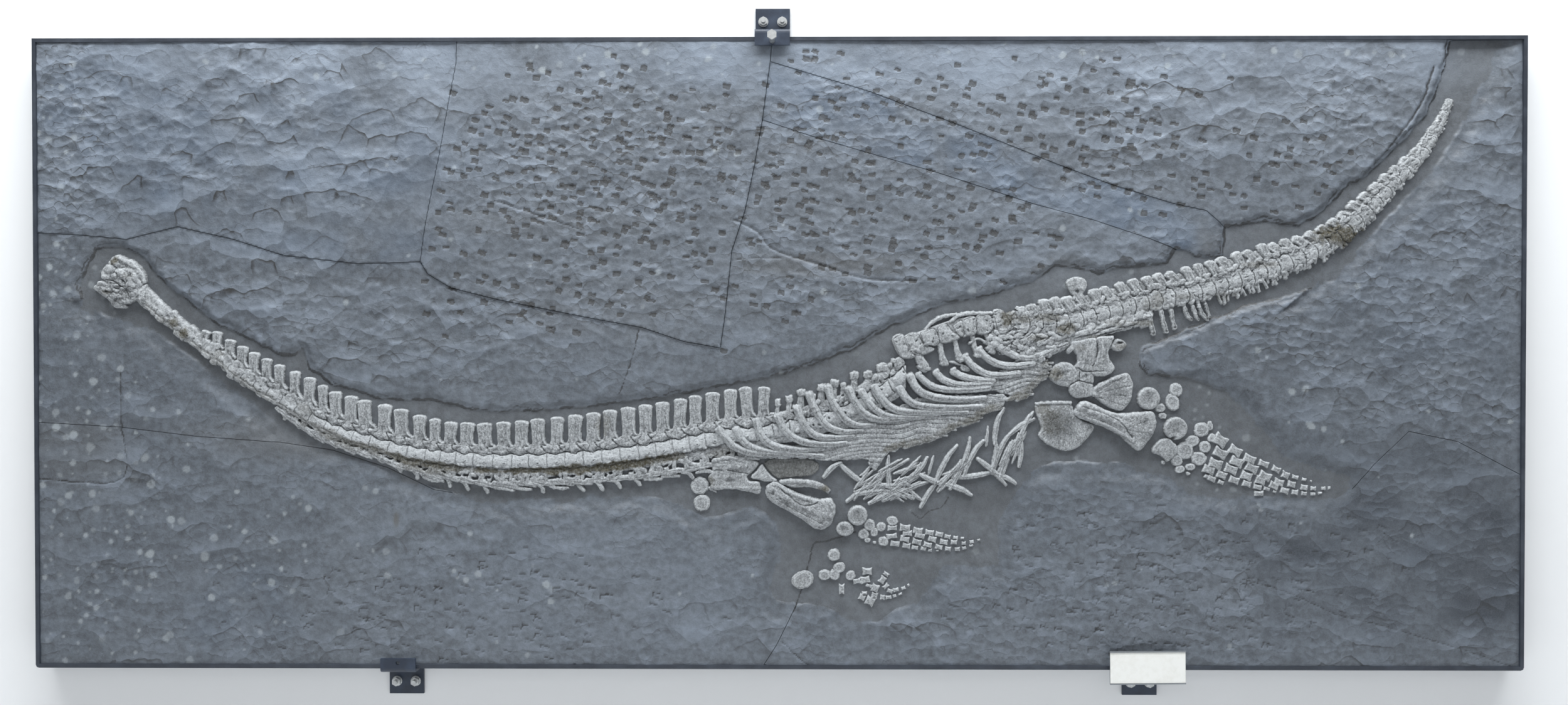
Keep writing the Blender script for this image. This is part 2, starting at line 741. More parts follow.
PLATES = (
    Plate("shale_upper_left", (*UPPER_LEFT_FOOT, *UPPER_LEFT_SIDE[1:], (-20, 1400)), 1.5, 0.15),
    Plate("shale_upper_middle", (*reversed(UPPER_LEFT_SIDE), *MIDDLE_FOOT[1:], *MIDDLE_SIDE[1:]), 2.8),
    Plate("shale_upper_right", (MIDDLE_SIDE[-1], *BAND_TOP, *channel_edge((2563, 952), (3045, 1352)), (3050, 1400)),
          1.2),
    Plate("shale_blue_band", (*BAND_TOP, (2560, 886), (2500, 886), (2480, 901), *reversed(BAND_FOOT)), 0.2, 0.6),
    Plate("shale_lower_left", (*LOWER_LEFT, *reversed(channel_edge((1600, 145), (900, 378))), *LOWER_MIDDLE,
                               (-20, -20)), 0.0),
    Plate("shale_lower_right", (*LOWER_RIGHT, (3220, -20), *reversed(LOWER_MIDDLE),
                                *reversed(channel_edge((2838, 388), (1700, 135)))), 0.6),
)
MAIN_PLATE = "shale_main"

# Where the split face is scooped: centre, reach both ways, how deep the wide scars and the small flakes are
SCARS = [
    (450, 1150, 480, 230, 1.0, 0.45), (80, 1150, 120, 250, 0.9, 1.0), (450, 800, 330, 130, 0.9, 0.5),
    (850, 720, 420, 110, 0.85, 0.5), (1250, 1080, 330, 190, 0.4, 0.95), (1200, 820, 330, 110, 0.45, 0.8),
    (1800, 1180, 260, 110, 0.45, 0.85), (2050, 1050, 420, 90, 0.35, 0.7), (2150, 900, 420, 110, 0.3, 0.7),
    (2500, 1200, 380, 130, 1.0, 0.5), (2850, 1180, 160, 150, 0.6, 1.0), (1750, 880, 260, 150, 0.35, 0.75),
    (3130, 1100, 90, 250, 0.9, 0.4), (2850, 750, 330, 170, 0.35, 0.9), (2600, 720, 200, 70, 0.5, 0.6),
    (3050, 900, 180, 130, 0.5, 0.8), (3000, 600, 250, 120, 0.3, 0.75), (700, 400, 250, 80, 0.35, 0.3),
    (1700, 480, 10, 10, 0.3, 0.3), (2350, 330, 300, 110, 0.25, 0.3), (1900, 60, 250, 70, 0.5, 0.35),
]

# Where chisel bites lie close together: centre, reach both ways, share of places with one
BITTEN = [
    (1230, 1060, 330, 210, 0.8), (1100, 830, 260, 110, 0.5), (1700, 1080, 130, 130, 0.75), (1900, 940, 330, 120, 0.6),
    (2200, 1170, 330, 130, 0.55), (2500, 1080, 330, 90, 0.45), (1900, 1230, 300, 70, 0.45),
    (2150, 1060, 300, 60, 0.3), (1560, 800, 120, 100, 0.3), (2700, 1060, 130, 60, 0.3), (1700, 1310, 60, 30, 0.7),
]

# Thin bracket shaped cuts in the lower plates
SLIT = [(900, 130, 420, 110, 0.45), (2400, 190, 420, 150, 0.7), (2750, 250, 200, 90, 0.4)]

# Lighter and darker, browner and bluer parts of the slab: centre, reach both ways, amount
TONES = [
    (1600, 1330, 1700, 90, 0.42), (500, 1200, 500, 200, 0.12), (2400, 1250, 500, 120, 0.22),
    (2250, 930, 400, 110, 0.1), (2081, 361, 100, 28, -0.5), (1860, 335, 140, 30, -0.25), (1700, 270, 60, 14, -0.4),
    (3000, 240, 330, 190, -0.9), (2650, 300, 300, 60, -0.3), (2900, 480, 160, 60, -0.3), (2500, 560, 700, 170, -0.18),
    (100, 700, 220, 250, -0.3), (250, 120, 330, 140, -0.1), (1200, 620, 900, 80, -0.12), (2050, 440, 160, 60, -0.4),
    (1230, 170, 420, 140, 0.14), (1700, 300, 250, 100, -0.15), (2218, 667, 12, 12, -0.9), (2170, 560, 20, 40, -0.3),
    (2650, 730, 330, 80, -0.1), (800, 880, 200, 60, -0.15), (300, 300, 260, 130, -0.15),
]
BROWNS = [(80, 470, 120, 70, 0.25), (600, 500, 260, 50, 0.3), (1700, 870, 200, 25, 0.35), (1250, 780, 260, 60, 0.12),
          (780, 320, 6, 16, 0.9), (2200, 860, 60, 30, 0.3), (2540, 915, 40, 40, 0.3), (1080, 960, 260, 30, 0.15)]
BLUES = [(500, 1130, 460, 160, 0.5), (640, 930, 260, 60, 0.4), (420, 130, 130, 90, 0.3), (2080, 425, 70, 40, 0.3),
         (150, 1200, 160, 130, 0.5), (1700, 1300, 400, 60, 0.3), (3000, 800, 200, 200, 0.15)]

# Soft round pale spots as (u, v, radius), and where they are scattered thickly, as patches
SPOTS = [
    (2610, 497, 9), (2583, 386, 7), (2506, 398, 4), (2548, 385, 4), (2553, 520, 4), (2637, 355, 5), (2639, 342, 4),
    (2698, 532, 4), (2704, 597, 8), (2734, 604, 8), (2738, 529, 4), (2773, 518, 7), (2813, 490, 4), (2780, 429, 4),
    (590, 345, 8), (515, 275, 10), (365, 240, 10), (510, 185, 9), (1105, 180, 9), (940, 290, 6), (905, 210, 5),
    (930, 190, 6), (2245, 453, 5), (3065, 1325, 8), (2363, 855, 6), (2510, 607, 5), (2530, 593, 5), (2527, 568, 4),
    (2500, 558, 5), (2517, 543, 4), (2500, 537, 4), (1240, 1320, 9), (1320, 1325, 8), (1180, 1310, 7),
]
SPOTTED = [
    (120, 350, 170, 330, 0.75), (70, 800, 90, 160, 0.6), (400, 200, 330, 170, 0.28), (60, 1150, 60, 200, 0.5),
    (1250, 1310, 420, 45, 0.35), (900, 150, 330, 110, 0.15), (2500, 1320, 500, 30, 0.2), (600, 1300, 420, 40, 0.15),
    (1500, 700, 1600, 700, 0.03),
]

# Cracks and ledges of the face, carved as thin lines: points, width, depth, darkness
CRACKS = [
    ([(1772, 295), (1707, 273), (1684, 271), (1674, 245), (1665, 206), (1649, 152), (1636, 120)], 1.6, 1.6, 0.9),
    ([(1610, 60), (1640, 32), (1670, 5)], 1.6, 1.2, 0.6),
    ([(1892, 335), (1909, 323), (1930, 339), (1957, 348), (1972, 371)], 1.4, 1.0, 0.7),
    ([(3190, 0), (3100, 35), (2900, 95), (2800, 120), (2700, 165), (2600, 195)], 1.4, 1.0, 0.5),
    ([(1305, 730), (1290, 670), (1262, 590)], 1.4, 1.2, 0.7),
    ([(1505, 880), (1560, 884), (1610, 885)], 1.4, 1.2, 0.7),
    ([(185, 645), (186, 530), (184, 408), (0, 408)], 1.5, 1.4, 0.75), ([(990, 1010), (1180, 945)], 1.8, 1.6, 0.5),
    ([(2602, 597), (2662, 508)], 1.4, 1.2, 0.55), ([(2610, 600), (2672, 509)], 1.4, 1.2, 0.5),
    ([(2595, 592), (2652, 508)], 1.4, 1.2, 0.5), ([(2588, 588), (2640, 512)], 1.4, 1.2, 0.4),
    ([(1512, 965), (1560, 940), (1600, 900), (1700, 868), (1800, 838), (1900, 835)], 2.4, 2.0, 0.4),
    ([(2850, 1050), (2930, 1145), (2975, 1210), (3003, 1290)], 2.4, 2.2, 0.6),
    ([(2560, 935), (2660, 945), (2730, 940)], 2.0, 1.5, 0.5),
]


def soft_patch(u: np.ndarray, v: np.ndarray, patch: Sequence[float]) -> np.ndarray:
    """A patch's presence at each place, from 1 at its middle down to 0, softly."""
    return ramp(1.5 - np.hypot((u - patch[0]) / patch[2], (v - patch[1]) / patch[3]))


def spread(u: np.ndarray, v: np.ndarray, places: Iterable[Sequence[float]], which: int = 4) -> np.ndarray:
    """The strongest of several soft patches at each place.

    Args:
        u: Places' first coordinate.
        v: Places' second coordinate.
        places: Patches, each as its centre, its reach both ways and its strengths.
        which: Which number of a patch is its strength.

    Returns:
        Strengths, from 0.
    """
    found = np.zeros(u.shape)
    for patch in places:
        found = np.maximum(found, patch[which] * soft_patch(u, v, patch))
    return found


def scooped(u: np.ndarray, v: np.ndarray, size: float, flatness: float, seed: int, reach: int = 1) -> np.ndarray:
    """Overlapping scooped scars, each a bowl with a sharp edge to its neighbours.

    Args:
        u: Places' first coordinate.
        v: Places' second coordinate.
        size: Usual width of a scar.
        flatness: Height of a scar as a share of its width.
        seed: Picks the scars.
        reach: How many rows of neighbours are tried.

    Returns:
        Heights in units of about a scar's depth, from 0 at the deepest.
    """
    x, y = u / size, v / (size * flatness)
    i, j = np.floor(x).astype(np.int64), np.floor(y).astype(np.int64)
    best = np.full(u.shape, 9.0)
    for di in range(-reach, reach + 1):
        for dj in range(-reach, reach + 1):
            a, b = i + di, j + dj
            du = x - a - chance(a, b, seed)
            dv = y - b - chance(a, b, seed + 1)
            bend = 0.6 + 2.6 * chance(a, b, seed + 2) ** 2
            tilt = (chance(a, b, seed + 4) - 0.35) * 0.5
            best = np.minimum(best, bend * (du * du + dv * dv) + tilt * dv + 0.7 * chance(a, b, seed + 3))
    return best


@dataclass(frozen=True)
class Shore:
    """How places lie to the channel.

    Args:
        out: How far out of it.
        ledge: How far out, with the waver of the ledge above its upper wall.
        lower: Whether the wall beside them is the lower one.
        wall: How much of the wall they have climbed, from 0 to 1.
    """

    out: np.ndarray
    ledge: np.ndarray
    lower: np.ndarray
    wall: np.ndarray


@dataclass
class Slab:
    """The shale plates, with their scars, chisel bites, spots and the channel round the skeleton."""

    cell: float = SLAB_CELL
    scar_width: float = 54.0
    scar_depth: float = 2.3
    flake_width: float = 24.0
    flake_depth: float = 1.5
    bite_spacing: Point = (31.0, 17.0)
    bite_size: Point = (7.6, 3.9)
    bite_depth: float = 1.3
    tiles: tuple = (905.0, 1610.0, 2290.0)
    finish: ShaleFinish = field(default_factory=ShaleFinish)

    def carve(self) -> tuple[Relief, np.ndarray]:
        """Works up the whole face.

        Returns:
            The relief, and for each cell the number of its plate, with 0 for the main one.
        """
        relief = Relief((FRAME_WALL, FRAME_WALL), (SLAB_WIDTH - FRAME_WALL, SLAB_HEIGHT - FRAME_WALL), self.cell)
        u, v = relief.u, relief.v
        owner, cells = np.zeros(u.shape, int), np.zeros((relief.rows, relief.columns), int)
        for number, plate in enumerate(PLATES, 1):
            owner[is_inside(u, v, plate.outline)] = number
            cells[is_inside(*relief.middles(), plate.outline)] = number
        wide, small = np.maximum(spread(u, v, SCARS, 4), 0.25), np.maximum(spread(u, v, SCARS, 5), 0.25)
        face = self.split_face(u, v, wide, small)
        shore = self.shore(u, v)
        self.bite(relief, face)
        for name in ("bite", "slit"):
            relief.mark(name)[:] *= shore.wall > MARKS_SHOW
        self.cut(relief, face)
        relief.mark("slit")[:] *= (shore.wall > MARKS_SHOW) | (v < FLOOR_CRACKS_BELOW)
        floor = CHANNEL_FLOOR + 0.18 * rough(u / 45, v / 45, 81) - 0.6 * relief.mark("slit")
        proud = np.array([0.0] + [plate.proud for plate in PLATES])[owner]
        relief.depth = floor + (face + proud - floor) * shore.wall
        blue = np.array([0.0] + [plate.blue for plate in PLATES])[owner]
        self.mark_tones(relief, face, shore, blue)
        self.mark_shore(relief, shore)
        patchy = ramp(0.5 + 1.1 * rough(u / 70, v / 45, 79) + 0.9 * (small - 0.4))
        relief.mark("chip")[:] = np.clip(0.06 + (0.2 + 0.8 * small) * patchy, 0, 1) * shore.wall
        relief.mark("scar")[:] = np.clip(0.15 + 0.85 * wide + 0.3 * rough(u / 110, v / 80, 80), 0, 1) * shore.wall
        self.spot(relief, shore.wall)
        return relief, cells

    def split_face(self, u: np.ndarray, v: np.ndarray, wide: np.ndarray, small: np.ndarray) -> np.ndarray:
        """The face as it was split, before any tool touched it.

        Args:
            u: Places' first coordinate.
            v: Places' second coordinate.
            wide: How strong the wide scars are at each.
            small: How strong the small flakes are at each.

        Returns:
            Its depth at each place.
        """
        face = PLAIN_LEVEL + 1.2 * np.sin(u / 190 + 1.4 * np.sin(v / 210))
        bent_u, bent_v = u + 10 * rough(u / 34, v / 34, 11), v + 10 * rough(u / 34, v / 34, 21)
        scars = scooped(bent_u, bent_v, self.scar_width, 0.8, 31, 2)
        bent_u, bent_v = u + 6 * rough(u / 15, v / 15, 51), v + 4 * rough(u / 13, v / 13, 52)
        flakes = scooped(bent_u, bent_v, self.flake_width, 0.62, 41, 2)
        face += self.scar_depth * wide * (1.3 * scars - 0.45) + self.flake_depth * small * (flakes - 0.4)
        face += 0.5 * rough(u / 60, v / 60, 61, 4)
        return np.clip(face, PLAIN_LEVEL - 4.0, PLAIN_LEVEL + 5.0)

    def shore(self, u: np.ndarray, v: np.ndarray) -> Shore:
        """How places lie to the channel, whose wall steps up above the skeleton and climbs slowly below it.

        Args:
            u: Places' first coordinate.
            v: Places' second coordinate.

        Returns:
            The measures of each place.
        """
        apart = away_from(CHANNEL, u, v, closed=True)
        inside = is_inside(u, v, CHANNEL)
        out = np.where(inside, -apart, apart) + 2.4 * rough(u / 22, v / 22, 71) + 1.0 * rough(u / 7, v / 7, 73)
        lower = self.below(u, v)
        ledge = out + 4.0 * rough(u / 30, v / 16, 75)
        slow = out + 7.0 * rough(u / 40, v / 30, 76)
        crisp = 0.45 * ramp(rough(u / 80, v / 80, 74) + 0.1)
        wall = np.where(lower, crisp * ramp(out / 4.0) + (1 - crisp) * ramp(slow / 46.0),
                        0.42 * ramp(out / 2.4) + 0.58 * ramp((ledge - 5.0) / 9.0))
        return Shore(out, ledge, lower, wall)

    def mark_tones(self, relief: Relief, face: np.ndarray, shore: Shore, blue: np.ndarray) -> None:
        """Marks the lighter, darker, bluer and browner parts, the hollows and the steep dark lips.

        Args:
            relief: Where they are marked.
            face: The face's depth before the channel.
            shore: How places lie to the channel.
            blue: How blue each place's plate is.
        """
        u, v = relief.u, relief.v
        tone = sum(patch[4] * soft_patch(u, v, patch) for patch in TONES)
        middle, reach = np.where(shore.lower, 20.0, 3.0), np.where(shore.lower, 16.0, 2.5)
        edge = np.exp(-(((shore.out - middle) / reach) ** 2))
        steep = np.gradient(face, self.cell, axis=0) * shore.wall
        facing = np.clip(-1.3 * steep, -0.3, 0.3)
        slit = relief.mark("slit")
        slit[:] = np.maximum(slit, 0.6 * ramp((steep - 0.26) / 0.3))
        patchy = tone * (0.75 + 0.5 * rough(u / 120, v / 120, 91))
        relief.mark("tone")[:] = patchy + np.where(shore.lower, -0.22, 0.1) * edge + facing
        relief.mark("blue")[:] = np.maximum(blue, spread(u, v, BLUES)) * (0.7 + 0.6 * rough(u / 70, v / 70, 95))
        relief.mark("brown")[:] = np.maximum(spread(u, v, BROWNS), np.where(shore.wall < 0.02, 0.3, 0.0))
        relief.mark("hollow")[:] = np.clip((face - blurred(face, 3)) / 1.1, -1, 1) * shore.wall

    def mark_shore(self, relief: Relief, shore: Shore) -> None:
        """Darkens the foot of the channel's upper wall and the ledge above it.

        Args:
            relief: Takes the marks.
            shore: How places lie to the channel.
        """
        u, v = relief.u, relief.v
        rim = np.exp(-(((shore.out - 0.5) / 2.2) ** 2)) * np.where(shore.lower, 0.04, 1.0)
        rim *= 0.7 + 0.7 * rough(u / 26, v / 26, 77)
        second = np.exp(-(((shore.ledge - 6.0) / 1.8) ** 2)) * np.where(shore.lower, 0.0, 0.8)
        second *= ramp(rough(u / 60, v / 60, 78) + 0.4)
        slit = relief.mark("slit")
        slit[:] = np.maximum(slit, np.maximum(rim, second))

    def below(self, u: np.ndarray, v: np.ndarray) -> np.ndarray:
        """Which places lie below the skeleton, where the channel's wall is gentler.

        Args:
            u: Places' first coordinate.
            v: Places' second coordinate.

        Returns:
            For each place, whether it lies below.
        """
        middle = [(0, 800), (240, 790), (500, 597), (800, 468), (1100, 448), (1600, 510), (2100, 560), (2500, 640),
                  (2750, 820), (2980, 1090), (3100, 1300), (3200, 1500)]
        return v < np.interp(u, [p[0] for p in middle], [p[1] for p in middle])

    def bite(self, relief: Relief, face: np.ndarray) -> None:
        """Sinks the chisel's bites into the face and marks their place and their fine lines.

        Args:
            relief: Takes the marks.
            face: The face's depth, which is lowered in place.
        """
        u, v = relief.u, relief.v
        wide, high = self.bite_spacing
        bite, lines, slit = relief.mark("bite"), relief.mark("bite_v"), relief.mark("slit")
        i, j = np.floor(u / wide).astype(np.int64), np.floor(v / high).astype(np.int64)
        for di in (-1, 0, 1):
            for dj in (-1, 0, 1):
                a, b = i + di, j + dj
                cu = (a - 0.1 + 1.2 * chance(a, b, 101)) * wide
                cv = (b - 0.1 + 1.2 * chance(a, b, 102)) * high
                lean = np.radians(-4 - 18 * chance(a, b, 103))
                x = (u - cu) * np.cos(lean) + (v - cv) * np.sin(lean)
                y = (v - cv) * np.cos(lean) - (u - cu) * np.sin(lean)
                half_u = self.bite_size[0] * (0.75 + 0.4 * chance(a, b, 104))
                half_v = self.bite_size[1] * (0.6 + 0.9 * chance(a, b, 105))
                strength = 0.55 + 0.45 * chance(a, b, 106)
                inside = np.minimum(half_u - np.abs(x), half_v - np.abs(y))
                there = chance(a, b, 107) < 0.78 * spread(cu, cv, BITTEN)
                here = np.where(there, ramp((inside + 1.4) / 1.6), 0) * strength
                wins = here > bite
                bite[:] = np.where(wins, here, bite)
                near = there & (inside > -4)
                lines[:] = np.where(wins | (near & (bite < 0.05)), y, lines)
                face -= np.where(there, ramp((inside + 1.5) / 1.5) * (0.4 + 0.6 * (y / half_v + 1) / 2),
                                 0) * self.bite_depth
                cuts = chance(a, b, 108) < spread(cu, cv, SLIT)
                top = np.abs(y - half_v) < 1.3
                side = np.abs(x + half_u) < 1.3
                drawn = cuts & (inside > -2) & (top | (side & (chance(a, b, 109) < 0.5)))
                slit[:] = np.maximum(slit, np.where(drawn, 0.5 * strength, 0))
                face -= np.where(drawn, 0.9, 0) + np.where(cuts & (inside > 0), 0.35, 0)

    def cut(self, relief: Relief, face: np.ndarray) -> None:
        """Carves the cracks and ledges.

        Args:
            relief: Takes the marks.
            face: The face's depth, which is lowered in place.
        """
        for line, width, depth, dark in CRACKS:
            area = relief.window(line, 12)
            wavy = rounded(line, 8)
            u, v = relief.u[area], relief.v[area]
            apart = away_from(wavy, u + 1.5 * rough(u / 9, v / 9, 111), v + 1.5 * rough(u / 9, v / 9, 113))
            groove = np.exp(-((apart / width) ** 2))
            face[area] -= depth * groove
            relief.mark("slit")[area] = np.maximum(relief.mark("slit")[area], dark * groove)

    def spot(self, relief: Relief, wall: np.ndarray) -> None:
        """Marks the pale spots, set out by hand or scattered where they lie close together.

        Args:
            relief: Takes the marks.
            wall: How much of the channel's wall each place has climbed, from 0 to 1.
        """
        u, v = relief.u, relief.v
        spots = relief.mark("spot")
        for su, sv, radius in SPOTS:
            area = relief.window([(su, sv)], radius * 2)
            apart = np.hypot(u[area] - su, v[area] - sv) + 1.5 * rough(u[area] / 8, v[area] / 8, 121)
            spots[area] = np.maximum(spots[area], ramp((radius + 1.5 - apart) / 4) * 0.6)
        size = 26.0
        i, j = np.floor(u / size).astype(np.int64), np.floor(v / size).astype(np.int64)
        shape = 1.8 * rough(u / 9, v / 9, 125)
        for di in (-1, 0, 1):
            for dj in (-1, 0, 1):
                a, b = i + di, j + dj
                cu, cv = (a + chance(a, b, 131)) * size, (b + chance(a, b, 132)) * size
                radius = 2 + 7 * chance(a, b, 133) ** 2
                there = chance(a, b, 134) < spread(cu, cv, SPOTTED)
                apart = np.hypot(u - cu, v - cv) + shape
                strength = 0.25 + 0.45 * chance(a, b, 135)
                spots[:] = np.maximum(spots, np.where(there, ramp((radius + 1.5 - apart) / 3.5) * strength, 0))
        spots *= np.maximum(wall, 0.5)

    def seam_pull(self, outlines: Sequence[Line], within: bool) -> Callable:
        """How a plate's rim is drawn to the seams.

        Args:
            outlines: Outlines whose edges are seams of the plate.
            within: True if the plate is what lies inside the outlines.

        Returns:
            A function of the rim's u and v that gives them moved.
        """
        def pull(u: np.ndarray, v: np.ndarray) -> tuple[np.ndarray, np.ndarray]:
            """Moves corners near a seam to half a seam's width from it, on the plate's side.

            Args:
                u: The rim's first coordinate.
                v: The rim's second coordinate.

            Returns:
                Both coordinates, moved.
            """
            moved_u, moved_v = u.copy(), v.copy()
            best = np.full(u.shape, self.cell * 1.3)
            for outline in outlines:
                p = np.array(outline, float)
                for (u0, v0), (u1, v1) in zip(p, np.roll(p, -1, 0)):
                    du, dv = u1 - u0, v1 - v0
                    length = math.hypot(du, dv)
                    t = np.clip(((u - u0) * du + (v - v0) * dv) / length**2, 0, 1)
                    near_u, near_v = u0 + t * du, v0 + t * dv
                    apart = np.hypot(u - near_u, v - near_v)
                    closer = apart < best
                    best = np.where(closer, apart, best)
                    off_u, off_v = -dv / length, du / length
                    same = is_inside(near_u + off_u, near_v + off_v, outline) == within
                    beside = away_from(CHANNEL, np.array([u0, u1]), np.array([v0, v1]), closed=True)
                    gap = 0.0 if beside.max() < ON_CHANNEL else SEAM_WIDTH / 2
                    off = np.where(same, gap, -gap)
                    moved_u = np.where(closer, near_u + off * off_u, moved_u)
                    moved_v = np.where(closer, near_v + off * off_v, moved_v)
            return moved_u, moved_v

        return pull

    def build(self) -> None:
        """Makes all the plates, the main one in several tiles."""
        relief, cells = self.carve()
        material = self.finish.build()
        around = self.seam_pull([plate.outline for plate in PLATES], False)
        for number, plate in enumerate(PLATES, 1):
            pull = self.seam_pull([plate.outline], True)
            settle(relief.piece(plate.name + "_face", cells == number, SHALE_BACK, pull), material,
                   "blue_shale" if plate.blue > 0.5 else "shale", plate.name)
        middle, _ = relief.middles()
        for index, (low, high) in enumerate(zip((0.0, *self.tiles), (*self.tiles, SLAB_WIDTH))):
            keep = (cells == 0) & (middle > low) & (middle <= high)
            settle(relief.piece(f"{MAIN_PLATE}_{'abcd'[index]}", keep, SHALE_BACK, around), material, "shale",
                   MAIN_PLATE)


@dataclass(frozen=True)
class BoneFinish:
    """Old bone: pale grey, pitted and fibrous, dark in its cracks and browned in places."""

    name: str = "bone"
    ground: Point = colour(132, 135, 137)
    pale: Point = colour(204, 208, 211)
    shade: Point = colour(44, 46, 49)
    brown: Point = colour(64, 58, 38)
    roughness: float = 0.7
    gloss: float = 0.3

    def build(self) -> bpy.types.Material:
        """Makes the material.

        Returns:
            The material.
        """
        material, s, shader = new_material(self.name)
        where = s.node("TexCoord").outputs["Object"]
        grain = s.effect(GRAIN, Where=where, Cloud_Scale=42.0, Mottle_Scale=270.0, Fine_Scale=560.0)
        cloud, mottle, fine = grain["Cloud"], grain["Mottle"], grain["Fine"]
        run = s.times(s.measure("along"), 0.09)
        side = s.times(s.measure("across"), 0.95)
        fibre = s.grain(s.node("CombineXYZ", None, i0=run, i1=side, i2=0.0).outputs[0], 1.0, 3.0, 0.6)
        made = s.tint(s.between(cloud, 0.35, 0.7, 0.0, 0.45), self.ground, self.pale)
        made = s.tint(s.between(s.measure("glow"), 0.0, 1.0), made, self.pale)
        calm = s.between(s.measure("glow"), 0.0, 0.8, 1.0, 0.45)
        made = s.tint(s.between(mottle, 0.5, 0.66, 0.0, 0.62), made, self.pale)
        made = s.tint(s.times(s.between(mottle, 0.47, 0.32, 0.0, 0.55), calm), made, self.shade)
        made = s.tint(s.between(fibre, 0.5, 0.36, 0.0, 0.42), made, self.shade)
        made = s.tint(s.between(fibre, 0.55, 0.7, 0.0, 0.35), made, self.pale)
        made = s.tint(s.times(s.between(fine, 0.46, 0.34, 0.0, 0.6), calm), made, self.shade)
        stain = s.times(s.measure("stain"), s.between(mottle, 0.35, 0.6, 1.0, 0.7))
        made = s.effect(RELIEF_TINT, Colour=made, Hollow=s.measure("hollow"), Wear=0.25, Dirt=0.66, Stain=stain,
                        Crack=s.measure("crack"), Pale=self.pale, Shade=self.shade, Brown=self.brown)["Colour"]
        shader.inputs["Roughness"].default_value = self.roughness
        shader.inputs["Specular IOR Level"].default_value = self.gloss
        s.tree.links.new(made, shader.inputs["Base Color"])
        height = s.sum("ADD", mottle, s.times(fine, 0.4))
        height = s.sum("ADD", height, s.times(fibre, 0.9))
        bump = s.node("Bump", None, Strength=0.75, Distance=0.0012, Height=height)
        s.tree.links.new(bump.outputs[0], shader.inputs["Normal"])
        return material


@dataclass(frozen=True)
class Local:
    """A place on the slab with a direction of its own for x."""

    u: float
    v: float
    angle: float = 0.0

    def put(self, *points: Sequence[float]) -> list[Point]:
        """This frame's points on the slab. Further numbers of a point stay as they are."""
        c, s = math.cos(self.angle), math.sin(self.angle)
        return [(self.u + p[0] * c - p[1] * s, self.v + p[0] * s + p[1] * c, *p[2:]) for p in points]

    def seen(self, u: np.ndarray, v: np.ndarray) -> tuple[np.ndarray, np.ndarray]:
        """Places on the slab in this frame."""
        c, s = math.cos(self.angle), math.sin(self.angle)
        return (u - self.u) * c + (v - self.v) * s, (v - self.v) * c - (u - self.u) * s


def pick(seed: int, which: int, low: float, high: float) -> float:
    """A settled random number from low to high."""
    return float(low + (high - low) * chance(np.int64(seed), np.int64(which), 977))


def slope_at(line: Line, u: float) -> float:
    """The angle of a line of pairs where the first is u, evened out over its neighbourhood."""
    reach = 18.0
    return math.atan2(at_level(line, u + reach) - at_level(line, u - reach), 2 * reach)


def box_of(lines: Iterable[Line], margin: float) -> tuple[Point, Point]:
    """The box of several lines' first two coordinates, grown by a margin."""
    p = np.array([q[:2] for line in lines for q in line], float)
    return tuple(p.min(0) - margin), tuple(p.max(0) + margin)


